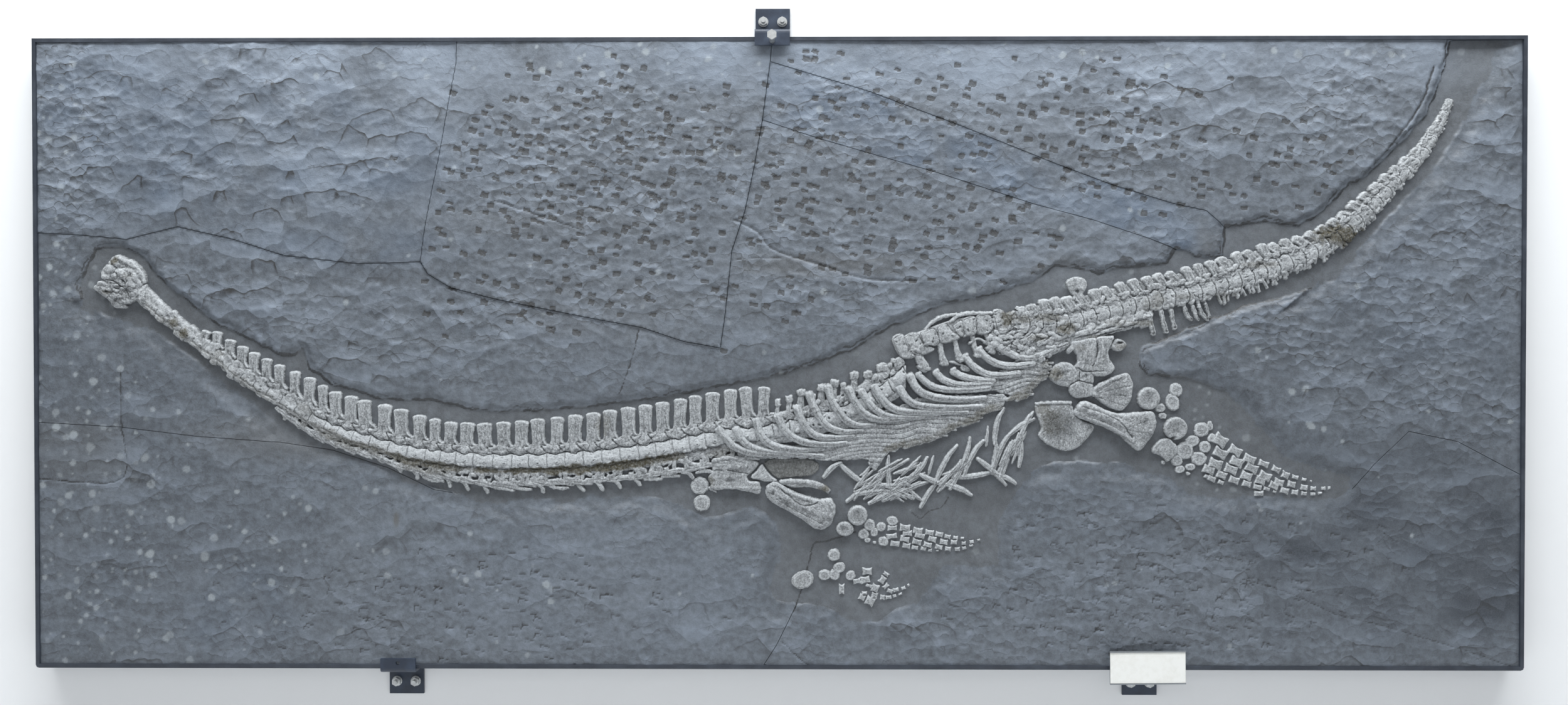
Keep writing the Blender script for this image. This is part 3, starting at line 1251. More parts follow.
class BoneRelief(Relief):
    """A patch of bone, built up from parts that each stand where nothing stands higher."""

    def __init__(self, low: Point, high: Point, cell: float = BONE_CELL, waver: float = 1.0) -> None:
        """Starts with bare ground.

        Args:
            low: Lower left corner (u, v).
            high: Upper right corner (u, v).
            cell: Distance between neighbouring corners.
            waver: How far the parts' outlines wander from true.
        """
        super().__init__(low, high, cell)
        self.bent_u = self.u + waver * rough(self.u / 7, self.v / 7, 301)
        self.bent_v = self.v + waver * rough(self.u / 7, self.v / 7, 305)

    def lay(self, area: tuple, depth: np.ndarray, along: np.ndarray, across: np.ndarray) -> None:
        """Adds a part.

        Args:
            area: The window that it lies in.
            depth: Its face in the window.
            along: Distance along its fibres.
            across: Distance across them.
        """
        higher = depth > self.depth[area]
        for values, new in ((self.depth, depth), (self.mark("along"), along), (self.mark("across"), across)):
            values[area] = np.where(higher, new, values[area])

    def rod(self, *line: Sequence[float], flat: float = 0.9) -> None:
        """Lays a round rod.

        Args:
            line: Its middle line, each point as (u, v, half width, top).
            flat: Its height over its own edges as a share of its half width.
        """
        path = rounded(line, 4.0)
        area = self.window(path, path[:, 2].max() + 4)
        apart, run, side, place = near_line(self.bent_u[area], self.bent_v[area], path)
        half = np.maximum(np.interp(place, range(len(path)), path[:, 2]), 0.4)
        top = np.interp(place, range(len(path)), path[:, 3])
        inside = np.clip(apart / half, 0, 1)
        fall = flat * half * (1 - np.sqrt(1 - inside**2)) + WALL_STEEPNESS * np.maximum(apart - half, 0)
        self.lay(area, top - fall, run, side * apart)

    def plate(self, outline: Line, top: float, edge: float = 2.0, dome: float = 0.0, grain: float = 0.0,
              fan: Point | None = None, ragged: float = 0.0) -> None:
        """Lays a flat bone.

        Args:
            outline: Its outline.
            top: Depth of its face.
            edge: How far its rounded edge reaches in.
            dome: How much its middle stands over its edge.
            grain: Direction of its fibres in degrees.
            fan: Where its fibres spread from, if they do.
            ragged: How far its edge wavers.
        """
        path = rounded(outline, 5.0, closed=True)
        area = self.window(path, 4 + ragged)
        u, v = self.u[area], self.v[area]
        apart = away_from(path, u, v, closed=True)
        depth_in = np.where(is_inside(u, v, path), apart, -apart)
        if ragged:
            depth_in = depth_in + ragged * rough(u / 9, v / 9, 203)
        lip = 1 - np.clip(depth_in / edge, 0, 1)
        face = top - 0.8 * edge * (1 - np.sqrt(1 - lip**2)) - dome * np.exp(-np.maximum(depth_in, 0) / 12)
        face = np.where(depth_in < 0, top - 0.8 * edge - dome + WALL_STEEPNESS * depth_in, face)
        x, y = Local(0, 0, math.radians(grain)).seen(u, v)
        if fan is not None:
            out = np.hypot(u - fan[0], v - fan[1])
            x, y = out, np.arctan2(v - fan[1], u - fan[0]) * 45
        self.lay(area, face, x, y)

    def knob(self, u: float, v: float, half_u: float, half_v: float, top: float, angle: float = 0.0,
             square: float = 2.0, dish: float = 0.0, waist: float = 0.0, deep: float | None = None) -> None:
        """Lays a lump, disc or spool.

        Args:
            u: Its middle.
            v: Its middle.
            half_u: Half its length.
            half_v: Half its width.
            top: Depth of its top.
            angle: Direction of its length in degrees.
            square: 2 for an oval, more for a shape with corners.
            dish: How far its face sinks inside its rim.
            waist: How much narrower it is in the middle.
            deep: Its height over its own edge.
        """
        area = self.window([(u, v)], max(half_u, half_v) * 1.2 + 4)
        x, y = Local(u, v, math.radians(angle)).seen(self.bent_u[area], self.bent_v[area])
        wide = half_v * (1 - waist * (1 - np.clip(x / half_u, -1, 1) ** 2))
        away = (np.abs(x / half_u) ** square + np.abs(y / wide) ** square) ** (1 / square)
        height = min(half_u, half_v) * 0.6 if deep is None else deep
        face = top - height * (1 - np.sqrt(1 - np.clip(away, 0, 1) ** 2))
        face -= dish * ramp((0.8 - away) / 0.45)
        face -= WALL_STEEPNESS * min(half_u, half_v) * np.maximum(away - 1, 0)
        self.lay(area, face, x, y)

    def sink(self, area: tuple, amount: np.ndarray) -> None:
        """Lowers what stands in a window, though never below the channel's floor.

        Args:
            area: The window.
            amount: How much each place in it is lowered.
        """
        before = self.depth[area]
        lower = np.maximum(before - amount, CHANNEL_FLOOR + 0.4)
        self.depth[area] = np.where(before > CHANNEL_FLOOR + 0.4, lower, before)

    def groove(self, line: Line, width: float, deep: float, dark: float) -> None:
        """Cuts a groove and darkens it.

        Args:
            line: Its middle line.
            width: How far it reaches to each side.
            deep: Its depth.
            dark: How dark it is, from 0 to 1.
        """
        path = rounded(line, 4.0)
        area = self.window(path, width * 4)
        apart = away_from(path, self.bent_u[area], self.bent_v[area])
        cut = np.exp(-((apart / width) ** 2))
        self.sink(area, deep * cut)
        self.tinge("crack", area, dark * cut)

    def dent(self, u: float, v: float, half_u: float, half_v: float, deep: float, dark: float,
             angle: float = 0.0) -> None:
        """Presses an oval hollow and darkens it.

        Args:
            u: Its middle.
            v: Its middle.
            half_u: Half its length.
            half_v: Half its width.
            deep: Its depth.
            dark: How dark it is, from 0 to 1.
            angle: Direction of its length in degrees.
        """
        area, away = self.oval(u, v, half_u, half_v, angle, 2.0)
        cut = ramp(1.35 - away)
        self.sink(area, deep * cut)
        self.tinge("crack", area, dark * cut)

    def stain(self, u: float, v: float, half_u: float, half_v: float, amount: float, angle: float = 0.0) -> None:
        """Browns a soft patch.

        Args:
            u: Its middle.
            v: Its middle.
            half_u: Half its length.
            half_v: Half its width.
            amount: How brown it is, from 0 to 1.
            angle: Direction of its length in degrees.
        """
        area, away = self.oval(u, v, half_u, half_v, angle, 2.0)
        away = away + 0.35 * rough(self.u[area] / 7, self.v[area] / 7, 207)
        self.tinge("stain", area, amount * ramp((1.5 - away) / 0.8))

    def oval(self, u: float, v: float, half_u: float, half_v: float, angle: float, reach: float) -> tuple:
        """The window round an oval, and how far out of it each place is, with 1 on the oval.

        Args:
            u: Its middle.
            v: Its middle.
            half_u: Half its length.
            half_v: Half its width.
            angle: Direction of its length in degrees.
            reach: How far the window goes, as a multiple of the oval's longer half.

        Returns:
            The window, and for each place in it how far out it is.
        """
        area = self.window([(u, v)], max(half_u, half_v) * reach + 2)
        x, y = Local(u, v, math.radians(angle)).seen(self.bent_u[area], self.bent_v[area])
        return area, np.hypot(x / half_u, y / half_v)

    def tinge(self, name: str, area: tuple, amount: np.ndarray) -> None:
        """Raises a mark in a window to at least the amount."""
        mark = self.mark(name)
        mark[area] = np.maximum(mark[area], amount)

    def shine(self, line: Line, width: float, amount: float) -> None:
        """Pales a soft strip along a line.

        Args:
            line: The strip's middle line.
            width: How far it reaches to each side.
            amount: How pale it is, from 0 to 1.
        """
        path = rounded(line, 4.0)
        area = self.window(path, width * 2.5)
        apart = away_from(path, self.bent_u[area], self.bent_v[area])
        self.tinge("glow", area, amount * np.exp(-((apart / width) ** 4)))

    def strands(self, outline: Line, top: float, spacing: float, deep: float, waver: float, grain: float) -> None:
        """Lays a sheaf of thin rods pressed side by side.

        Args:
            outline: The sheaf's outline.
            top: Depth of the highest rods.
            spacing: Usual width of a rod.
            deep: Depth of the furrows.
            waver: How far the rods wander.
            grain: Their direction in degrees.
        """
        path = rounded(outline, 5.0, closed=True)
        area = self.window(path, 6)
        u, v = self.u[area], self.v[area]
        apart = away_from(path, u, v, closed=True)
        depth_in = np.where(is_inside(u, v, path), apart, -apart) + 1.6 * rough(u / 7, v / 7, 211)
        x, y = Local(0, 0, math.radians(grain)).seen(u, v)
        y = y + waver * rough(x / 95, y / 60, 213, 2)
        lane = np.floor(y / spacing)
        share = y / spacing - lane
        round_top = np.sqrt(np.maximum(1 - (2 * share - 1) ** 2, 0))
        lane = lane.astype(np.int64)
        stretch = np.floor(x / 70 + 3 * chance(lane, lane, 5)).astype(np.int64)
        lift = chance(lane, stretch, 217)
        thin = y / (spacing * 0.37) + 0.6 * rough(x / 60, y / 20, 219, 2)
        fine = np.sqrt(np.maximum(1 - (2 * (thin - np.floor(thin)) - 1) ** 2, 0))
        face = top - deep * (1 - round_top) * (0.5 + 0.8 * lift) - 2.0 * (1 - lift) - 0.9 * (1 - fine)
        face -= 1.5 * np.exp(-np.maximum(depth_in, 0) / 4)
        face = np.where(depth_in < 0, top - 1.5 + WALL_STEEPNESS * depth_in, face)
        self.lay(area, face, x, y)

    def weather(self, amount: float, size: float = 9.0, seed: int = 221) -> None:
        """Roughens the whole face and pits it.

        Args:
            amount: Height of the roughness.
            size: Width of its widest lumps.
            seed: Picks the lumps.
        """
        lumps = rough(self.u / size, self.v / size, seed, 4)
        pits = ramp((rough(self.u / 3.4, self.v / 3.4, seed + 9, 2) - 0.55) / 0.3)
        standing_up = self.depth > CHANNEL_FLOOR + 1
        self.depth += np.where(standing_up, amount * lumps - 0.5 * amount * pits, 0)
        self.tinge("crack", EVERYWHERE, np.where(standing_up, 0.35 * pits, 0))

    def finish(self, name: str, part: np.ndarray | None = None) -> bpy.types.Object:
        """Marks the ridges and hollows and cuts the patch out.

        Args:
            name: The piece's name.
            part: For each cell, whether it belongs to this piece.

        Returns:
            The new object.
        """
        ground = np.maximum(self.depth, CHANNEL_FLOOR)
        wide = ground - blurred(ground, 3)
        near = ground - blurred(ground, 1)
        self.mark("hollow")[:] = np.clip(wide / 3.2 + near / 1.4, -1, 1)
        up = self.depth > CHANNEL_FLOOR + 0.25
        keep = up[:-1, :-1] | up[:-1, 1:] | up[1:, :-1] | up[1:, 1:]
        if part is not None:
            keep &= part
        for _ in range(3):
            a, b, c, d = keep[:-1, :-1], keep[:-1, 1:], keep[1:, :-1], keep[1:, 1:]
            b |= a & d & ~b & ~c
            a |= b & c & ~a & ~d
        return self.piece(name, keep, BED)


def rubble(bed: BoneRelief, low: Point, high: Point, count: int, least: float, most: float, seed: int) -> None:
    """Strews broken lumps of bone, with cracks between them, over a box.

    Args:
        bed: Where they are laid.
        low: The box's lower left corner.
        high: Its upper right corner.
        count: How many lumps.
        least: Lowest top.
        most: Highest top.
        seed: Picks the lumps.
    """
    for which in range(count):
        u, v = pick(which, seed, low[0], high[0]), pick(which, seed + 1, low[1], high[1])
        turn = pick(which, seed + 2, -30, 60)
        long, half = pick(which, seed + 3, 6, 13), pick(which, seed + 4, 3.5, 7)
        bed.knob(u, v, long, half, pick(which, seed + 5, least, most), turn, 3.0, deep=2.2)
        if which % 2:
            ahead = Local(u, v, math.radians(turn)).put((-long, half), (0, half * 0.8), (long, half))
            bed.groove(ahead, 1.0, 1.8, 0.6)


# The spine from the skull to the shoulder: the middle of the drums, tops of the spines, feet of the ribs
COLUMN = [
    (240, 792), (300, 745), (350, 705), (400, 670), (450, 628), (500, 597), (550, 568), (600, 537), (650, 512),
    (700, 495), (750, 480), (800, 468), (850, 460), (900, 455), (1000, 448), (1100, 448), (1200, 454),
    (1300, 466), (1400, 483), (1500, 503), (1560, 505), (1620, 517), (1680, 530), (1740, 548), (1800, 578),
    (1850, 612), (1885, 645),
]
SPINE_TOPS = [
    (350, 722), (370, 735), (417, 703), (470, 676), (525, 650), (585, 623), (648, 591), (710, 576), (752, 566),
    (790, 556), (833, 542), (893, 530), (970, 527), (1048, 532), (1124, 540), (1204, 549), (1283, 561),
    (1357, 572), (1427, 586), (1499, 599), (1572, 610), (1590, 592), (1628, 590),
]
RIB_FEET = [
    (240, 776), (270, 748), (300, 722), (350, 684), (400, 640), (450, 602), (500, 568), (550, 532), (600, 500),
    (650, 475), (700, 457), (750, 445), (800, 420), (850, 402), (900, 393), (950, 382), (1000, 378), (1100, 382),
    (1200, 384), (1300, 395), (1400, 408), (1450, 412), (1600, 470),
]
SPINE_LEAN = [(350, 11), (600, 12), (680, 7), (750, 6), (850, 5), (1000, 0), (1300, -3), (1600, -5)]
NECK_STATIONS = [
    255, 280, 305, 332, 358, 385, 410, 436, 462, 490, 518, 549, 579, 612, 640, 672, 706, 746, 785, 826, 860, 893,
    929, 970, 1012, 1049, 1088, 1127, 1166, 1207, 1245, 1286, 1323, 1360, 1396, 1431, 1467, 1504, 1540, 1577,
]
BACK_STATIONS = [1612, 1648, 1684, 1720, 1757, 1793, 1828, 1862]
FIRST_SPINE = 350
BACK_SPINES = [
    (1603, 581, 12), (1628, 588, 14), (1654, 602, 18), (1678, 592, 13), (1698, 612, 18), (1725, 622, 17),
    (1744, 615, 12), (1768, 639, 18), (1797, 641, 18), (1829, 655, 26), (1862, 662, 22),
]

# The thick first stretch of the neck behind the skull, as (u, v, half width, top)
NECK_START = [
    (226, 812, 20, 56), (244, 795, 19, 57), (262, 780, 16, 57), (290, 757, 15, 57.5), (322, 732, 14.5, 57.5),
    (352, 708, 14, 57),
]

# How brown the hollow under the drums is along the neck, as (u, share)
BROWN_BAND = [
    (240, 0.3), (500, 0.35), (560, 0.25), (640, 0.55), (700, 0.75), (760, 0.9), (900, 0.85), (930, 0.6), (960, 0.95),
    (1350, 1.0), (1410, 0.7), (1470, 0.3), (1600, 0.1),
]

# Dark brown stains along the neck: u, height over the column, reach both ways, amount
NECK_STAINS = [
    (302, 2, 11, 9, 0.9), (327, -1, 12, 10, 0.95), (282, -8, 8, 7, 0.4), (735, -12, 28, 10, 0.55),
    (680, -20, 26, 10, 0.4), (1235, 70, 14, 22, 0.45), (1300, -25, 60, 8, 0.6), (850, -30, 50, 9, 0.5),
    (580, 10, 20, 8, 0.3), (395, 8, 10, 7, 0.4), (455, -6, 9, 8, 0.35), (1480, -35, 30, 12, 0.35),
]


@dataclass
class NeckBone:
    """One vertebra of the neck, with its own small differences."""

    u: float
    pitch: float
    number: int
    face: float = 56.0
    comb_face: float = 51.5

    def __post_init__(self) -> None:
        """Measures the neck at this bone: its slant, and its reach above and below beside the largest."""
        v, tilt = at_level(COLUMN, self.u), slope_at(COLUMN, self.u)
        self.here = Local(self.u, v, tilt)
        self.long = self.pitch / math.cos(tilt)
        rise = (at_level(SPINE_TOPS, self.u) - v) * math.cos(tilt)
        self.above = max(rise, 24) / 85 if self.u > FIRST_SPINE else 0.32
        self.below = max((v - at_level(RIB_FEET, self.u)) * math.cos(tilt), 20) / 68

    def odd(self, which: int, reach: float) -> float:
        """One of its own small differences."""
        return pick(self.number, which, -reach, reach)

    def lay(self, bed: BoneRelief) -> None:
        """Lays the whole bone.

        Args:
            bed: Where it is laid.
        """
        p, f = self.long, self.below
        bed.rod(*self.here.put((-0.52 * p, -22 * f, 13 * f, 50.4), (0.52 * p, -22 * f, 13 * f, 50.6)), flat=0.25)
        if self.u > FIRST_SPINE:
            self.blade(bed)
        self.arch(bed)
        self.drum(bed)
        self.foot(bed)

    def blade(self, bed: BoneRelief) -> None:
        """Lays an upright spine with its pale cap and its foot swept back under the next.

        Args:
            bed: Where it is laid.
        """
        a, p, odd, face = self.above, self.long, self.odd, self.comb_face
        tip = (self.u + at_level(SPINE_LEAN, self.u), at_level(SPINE_TOPS, self.u))
        root = self.here.put((0, 26 * a))[0]
        long = math.dist(root, tip)
        up = Local(*root, math.atan2(tip[1] - root[1], tip[0] - root[0]) - math.pi / 2 + math.radians(odd(10, 3.5)))
        w = (0.405 if root[0] > CRUSHED_SPINES_END else 0.34) * p + odd(11, 1.0)
        left = 0.9 + odd(13, 0.05)
        edge = [(-0.86 * w, -0.1 * long), (-0.8 * w, 0.2 * long), (-0.82 * w, 0.55 * long), (-left * w, 0.86 * long),
                (-0.98 * w, 0.95 * long), (-0.78 * w, long), (0, 1.03 * long), (0.78 * w, 1.0 * long),
                (1.0 * w, 0.94 * long), (0.93 * w, 0.8 * long), (0.84 * w, 0.5 * long), (0.92 * w, 0.24 * long),
                (1.15 * w, 0.1 * long), (1.6 * w, 0.01 * long), (1.5 * w, -0.1 * long)]
        bed.plate(up.put(*edge), face + odd(12, 0.7), 2.4, 0.5, math.degrees(up.angle) + 90, ragged=0.5)
        bed.shine(up.put((-0.75 * w, 0.97 * long), (0, 0.99 * long), (0.78 * w, 0.96 * long)), 2.2, 0.3)
        if long > 22:
            bed.rod(*up.put((0.6 * w, 0.75 * long, 1.6, face + 0.7), (0.72 * w, 0.25 * long, 2.2, face + 1.3),
                            (1.35 * w, 0.03 * long, 2.4, face + 1.5)))
            bed.dent(*up.put((-0.1 * w, 0.2 * long))[0], 4, 7, 1.2, 0.25, math.degrees(up.angle))
            bed.groove(up.put((odd(14, 0.4) * w, 0.85 * long), (odd(15, 0.3) * w, 0.3 * long)), 1.0, 0.9, 0.3)

    def arch(self, bed: BoneRelief) -> None:
        """Lays the arch between the spine and the drum, with its lumps.

        Args:
            bed: Where it is laid.
        """
        here, a, p, odd = self.here, self.above, self.long, self.odd
        bed.rod(*here.put((-0.55 * p, 22 * a, 10 * a, 52.4), (0.5 * p, 22 * a, 10 * a, 53.2)), flat=0.3)
        if a > 0.5:
            bed.rod(*here.put((-0.1 * p, 17 * a, 6 * a, 54.4), (0.3 * p, 25 * a, 4.5 * a, 55.4),
                              (0.62 * p, 31 * a, 2.4, 54.4)))
            bed.groove(here.put((0.16 * p, 29 * a), (0.32 * p + odd(1, 2), 22 * a), (0.5 * p, 16 * a)), 1.5, 3.2,
                       0.75)
            bed.groove(here.put((0.2 * p, 33 * a), (0.5 * p, 31 * a), (0.72 * p, 33 * a)), 0.9, 1.4, 0.7)
        for which in range(4 if self.u < FRONT_NECK_END else 2):
            place = here.put((odd(60 + which, 0.45) * p, 22 * a + odd(64 + which, 7)))[0]
            bed.knob(*place, 6.5 + odd(68 + which, 2), 4.4, 54.8 + odd(72 + which, 1.0), odd(76 + which, 90), 2.6,
                     deep=1.8)

    def drum(self, bed: BoneRelief) -> None:
        """Lays the drum, with the seam under its arch, the joint to the next and the hole in its side.

        Args:
            bed: Where it is laid.
        """
        here, a, f, p, odd, face = self.here, self.above, self.below, self.long, self.odd, self.face
        body = 15 if self.u > FRONT_NECK_END else 13.5
        degrees = math.degrees(here.angle)
        bed.rod(*here.put((-0.47 * p, -0.5, body, face - 0.2 + odd(2, 0.5)), (0, -0.5, body * 0.96, face - 0.6),
                          (0.47 * p, -0.5, body, face + 0.2 + odd(3, 0.4))), flat=0.3)
        bed.shine(here.put((-0.34 * p, -1), (0.3 * p, -1)), body * 0.95, 0.6 if self.u > PALE_DRUMS_START else 0.35)
        dip = 10.5 * a + odd(4, 1.2)
        seam = here.put((-0.5 * p, 16 * a), (-0.3 * p, 13.5 * a), (0.0, dip), (0.25 * p, 14 * a), (0.5 * p, 16.5 * a))
        if self.u > CRUSHED_DRUMS_END:
            bed.groove(seam, 1.0, 2.2, 0.95)
        else:
            for which in range(5):
                place = here.put((odd(90 + which, 0.45) * p, 2 + odd(95 + which, 13)))[0]
                bed.knob(*place, 10, 7, face + 0.6 + odd(100 + which, 0.6), odd(105 + which, 60), 3, deep=1.3)
            bed.dent(*here.put((0.3 * p, odd(110, 9)))[0], 5, 4, 1.6, 0.3, odd(111, 50))
            bed.shine(here.put((-0.3 * p, 4), (0.2 * p, -3)), 7, 0.5)
        bed.groove(here.put((0.5 * p, 13 * a), (0.48 * p + odd(5, 0.8), 0), (0.5 * p, -13 * f)), 1.0, 1.7, 0.75)
        spot = here.put((0.02 * p + odd(6, 3), -5.5 * f))[0]
        bed.knob(*spot, 5.4, 3.4, face + 0.7, degrees, deep=1.6)
        bed.dent(*spot, 2.8, 1.3, 1.8, 0.75, degrees + odd(9, 20))
        for which in range(3):
            place = here.put((odd(80 + which, 0.42) * p, -12.5 * f + odd(83 + which, 2)))[0]
            bed.knob(*place, 5.5, 3, face - 0.6, degrees, deep=2.5)

    def foot(self, bed: BoneRelief) -> None:
        """Lays what hangs below the drum: a browned hollow, struts and the ragged ribs.

        Args:
            bed: Where it is laid.
        """
        here, f, p, odd = self.here, self.below, self.long, self.odd
        degrees = math.degrees(here.angle)
        bed.groove(here.put((-0.5 * p, -17 * f + odd(26, 2.5)), (odd(29, 0.2) * p, -18 * f + odd(27, 3)),
                            (0.5 * p, -17 * f)), 1.6, 1.6, 0.2)
        if f < 0.45:
            for which in (20, 21, 28):
                place = here.put((odd(which, 0.4) * p, -17 * f - 5 + odd(which + 30, 4)))[0]
                bed.knob(*place, 7, 4.2, 53.2, degrees, deep=3)
            return
        strut = odd(30, 0.16) * p
        bed.rod(*here.put((strut, -26 * f, 4.4, 52.2), (strut + odd(31, 3), -36 * f, 5, 53.4),
                          (strut - 3, -48 * f, 5.6, 53.4)), flat=0.4)
        bed.rod(*here.put((0.42 * p, -30 * f, 4, 51.6), (0.36 * p + odd(32, 2), -42 * f, 4.4, 52.2)), flat=0.4)
        for which in range(4):
            place = here.put((odd(33 + which, 0.5) * p, -37 * f + odd(37 + which, 8)))[0]
            bed.knob(*place, 8 + odd(41 + which, 2.5), 4.6, 52.8 + odd(45 + which, 0.8),
                     odd(49 + which, 50) + degrees, 2.8, deep=1.8)
        seed = int(self.u)
        if pick(seed, 91, 0, 1) < 0.6:
            bed.dent(*here.put((odd(53, 0.34) * p, -37 * f))[0], 6, 3.2 * f, 6, 0.7, degrees + odd(54, 25))
        droop = 2 if self.u > 1200 else 7
        low = -48 * f + odd(50, 2)
        bed.rod(*here.put((-0.5 * p, low, 4.6, 52.6), (0.0, low - 2 + odd(51, 2), 6, 53.8),
                          (0.35 * p, low - droop * 0.5, 5.6, 53.8), (0.8 * p, low - droop + odd(52, 2), 3.6, 52.0)),
                flat=0.35)
        if pick(seed, 92, 0, 1) < 0.45:
            rib = here.put((0.05 * p, -53 * f, 4.4, 52.8), (0.2 * p, -61 * f, 4.4, 52.8),
                           (0.3 * p + odd(54, 4), -68 * f, 4, 51.4))
        else:
            rib = here.put((-0.45 * p, -57 * f, 3, 51.6), (0.1 * p, -59 * f + odd(55, 3), 4.4, 52.4),
                           (0.55 * p, -62 * f, 2.6, 51.4))
        bed.rod(*rib, flat=0.35)
        bed.groove(here.put((-0.4 * p, low + odd(56, 2)), (0.7 * p, low - droop + odd(57, 2))), 0.8, 1.0, 0.5)


@dataclass
class Spine:
    """The neck and back in one bed, parted into the runs in which they hold together."""

    runs: tuple = (("neck_a", 242.5), ("neck_b", 476.0), ("neck_c", 843.0), ("neck_d", 1226.0), ("back", 1595.0))
    end: float = 1878.0
    face: float = 56.0

    def back_bone(self, bed: BoneRelief, u: float, pitch: float, number: int) -> None:
        """Lays one vertebra of the back, jumbled and half under the ribs.

        Args:
            bed: Where it is laid.
            u: Its middle.
            pitch: Distance to the next one.
            number: Picks its own small differences.
        """
        v, tilt = at_level(COLUMN, u), slope_at(COLUMN, u)
        here = Local(u, v, tilt + math.radians(pick(number, 1, -6, 6)))
        p = pitch / math.cos(tilt)
        bed.rod(*here.put((-0.44 * p, 0, 17, self.face - 1), (0.44 * p, 0, 17, self.face)), flat=0.35)
        bed.rod(*here.put((-0.5 * p, 27, 11, 52.5), (0.5 * p, 27, 11, 53.5)), flat=0.3)
        bed.rod(*here.put((-0.5 * p, -20, 9, 51.5), (0.5 * p, -20, 9, 52.5)), flat=0.3)
        bed.shine(here.put((-0.5 * p, 2), (0.5 * p, 2)), 15, 0.5)
        for which in range(8):
            place = here.put((pick(number, 10 + which, -0.5, 0.5) * p, pick(number, 20 + which, -14, 38)))[0]
            bed.knob(*place, pick(number, 30 + which, 5, 9), pick(number, 40 + which, 3, 6),
                     pick(number, 50 + which, 55, 58), pick(number, 60 + which, 0, 180), deep=3)
        bed.groove(here.put((-0.5 * p, 17), (0, 13), (0.5 * p, 17)), 1.3, 2.4, 0.9)
        bed.groove(here.put((0.5 * p, 16), (0.47 * p, 0), (0.5 * p, -15)), 1.4, 2.6, 0.8)
        for which in range(3):
            place = here.put((pick(number, 70 + which, -0.45, 0.45) * p, pick(number, 75 + which, -10, 36)))[0]
            bed.dent(*place, pick(number, 80 + which, 3, 6), 2.4, 2.5, 0.7, pick(number, 85 + which, 0, 180))

    def build(self, material: bpy.types.Material) -> None:
        """Lays the neck and the back and cuts them into their runs.

        Args:
            material: What the pieces are made of.
        """
        bed = BoneRelief((226, 330), (1900, 860))
        bed.plate([(1592, 540), (1592, 508), (1700, 528), (1800, 566), (1874, 628), (1880, 650), (1800, 610)], 51, 3)
        for number, (u, top, width) in enumerate(BACK_SPINES):
            root = (u - 2, at_level(COLUMN, u) + 24)
            bed.rod((*root, width * 0.42, 51.5), (u, top - 12, width * 0.36, 52.5), (u, top - 6, width * 0.42, 53),
                    flat=0.5)
            bed.knob(u, top - 8, width * 0.52, 8, 55.5, pick(number, 3, -12, 12), 4.0, 0.7)
        bed.rod(*NECK_START, flat=0.4)
        for number, u in enumerate(BACK_STATIONS):
            self.back_bone(bed, u, 36, number + 60)
        stations = [2 * NECK_STATIONS[0] - NECK_STATIONS[1], *NECK_STATIONS, BACK_STATIONS[0]]
        for number, (before, u, after) in enumerate(zip(stations, stations[1:], stations[2:])):
            NeckBone(u, (after - before) / 2, number).lay(bed)
        hollow = [(u, v - 0.33 * (v - at_level(RIB_FEET, u))) for u, v in COLUMN if u < 1500]
        apart = away_from(hollow, bed.u, bed.v)
        ragged = 9.5 + 6.0 * rough(bed.u / 26, bed.v / 26, 311, 4) - apart
        browned = np.interp(bed.u, [p[0] for p in BROWN_BAND], [p[1] for p in BROWN_BAND])
        bed.tinge("stain", EVERYWHERE, browned * ramp(ragged / 4))
        for u, over, half_u, half_v, amount in NECK_STAINS:
            tilt = slope_at(COLUMN, u)
            bed.stain(*Local(u, at_level(COLUMN, u), tilt).put((0, over))[0], half_u, half_v, amount,
                      math.degrees(tilt))
        bed.weather(0.55, 8.0)
        middle, _ = bed.middles()
        ends = [start for _, start in self.runs[1:]] + [self.end]
        for (name, start), end in zip(self.runs, ends):
            settle(bed.finish(name + "_bones", (middle > start) & (middle < end)), material, "bone", name)


def hip_start(v: np.ndarray) -> np.ndarray:
    """Where the spine breaks between the row of arches and the hips, at each height."""
    return 2110 + 9 * rough(v / 13, v * 0, 331)


# Row of arches pushed up out of line above the back, each a flat block seen from its side
STRAND_BLOCKS = [
    [(1850, 709), (1872, 718), (1891, 682), (1898, 673), (1870, 670)],
    [(1874, 712), (1892, 723), (1907, 719), (1915, 701), (1940, 690), (1925, 679), (1898, 676), (1881, 695)],
    [(1910, 723), (1936, 732), (1944, 723), (1951, 706), (1939, 695), (1917, 703)],
    [(1946, 736), (1963, 743), (1977, 728), (1994, 712), (1955, 701), (1948, 720)],
    [(1977, 737), (1998, 750), (2004, 720), (1994, 716)],
    [(1999, 750), (2027, 757), (2029, 723), (2007, 719)],
    [(2029, 758), (2057, 761), (2066, 737), (2054, 722), (2032, 723)],
    [(2065, 767), (2087, 769), (2103, 733), (2079, 723)],
]
STRAND_STUBS = [
    [(1906, 674, 10, 53), (1912, 660, 10, 54), (1917, 650, 12, 55)],
    [(1953, 690, 6, 52), (1956, 674, 5.5, 53), (1961, 659, 8, 54)],
    [(1986, 697, 5.5, 52), (1990, 682, 5.5, 53), (1995, 667, 7.5, 54)],
    [(2024, 702, 5.5, 52), (2027, 690, 5, 53), (2033, 677, 7.5, 54)],
    [(2054, 710, 5, 52), (2058, 698, 5, 53), (2063, 684, 7, 54)],
]
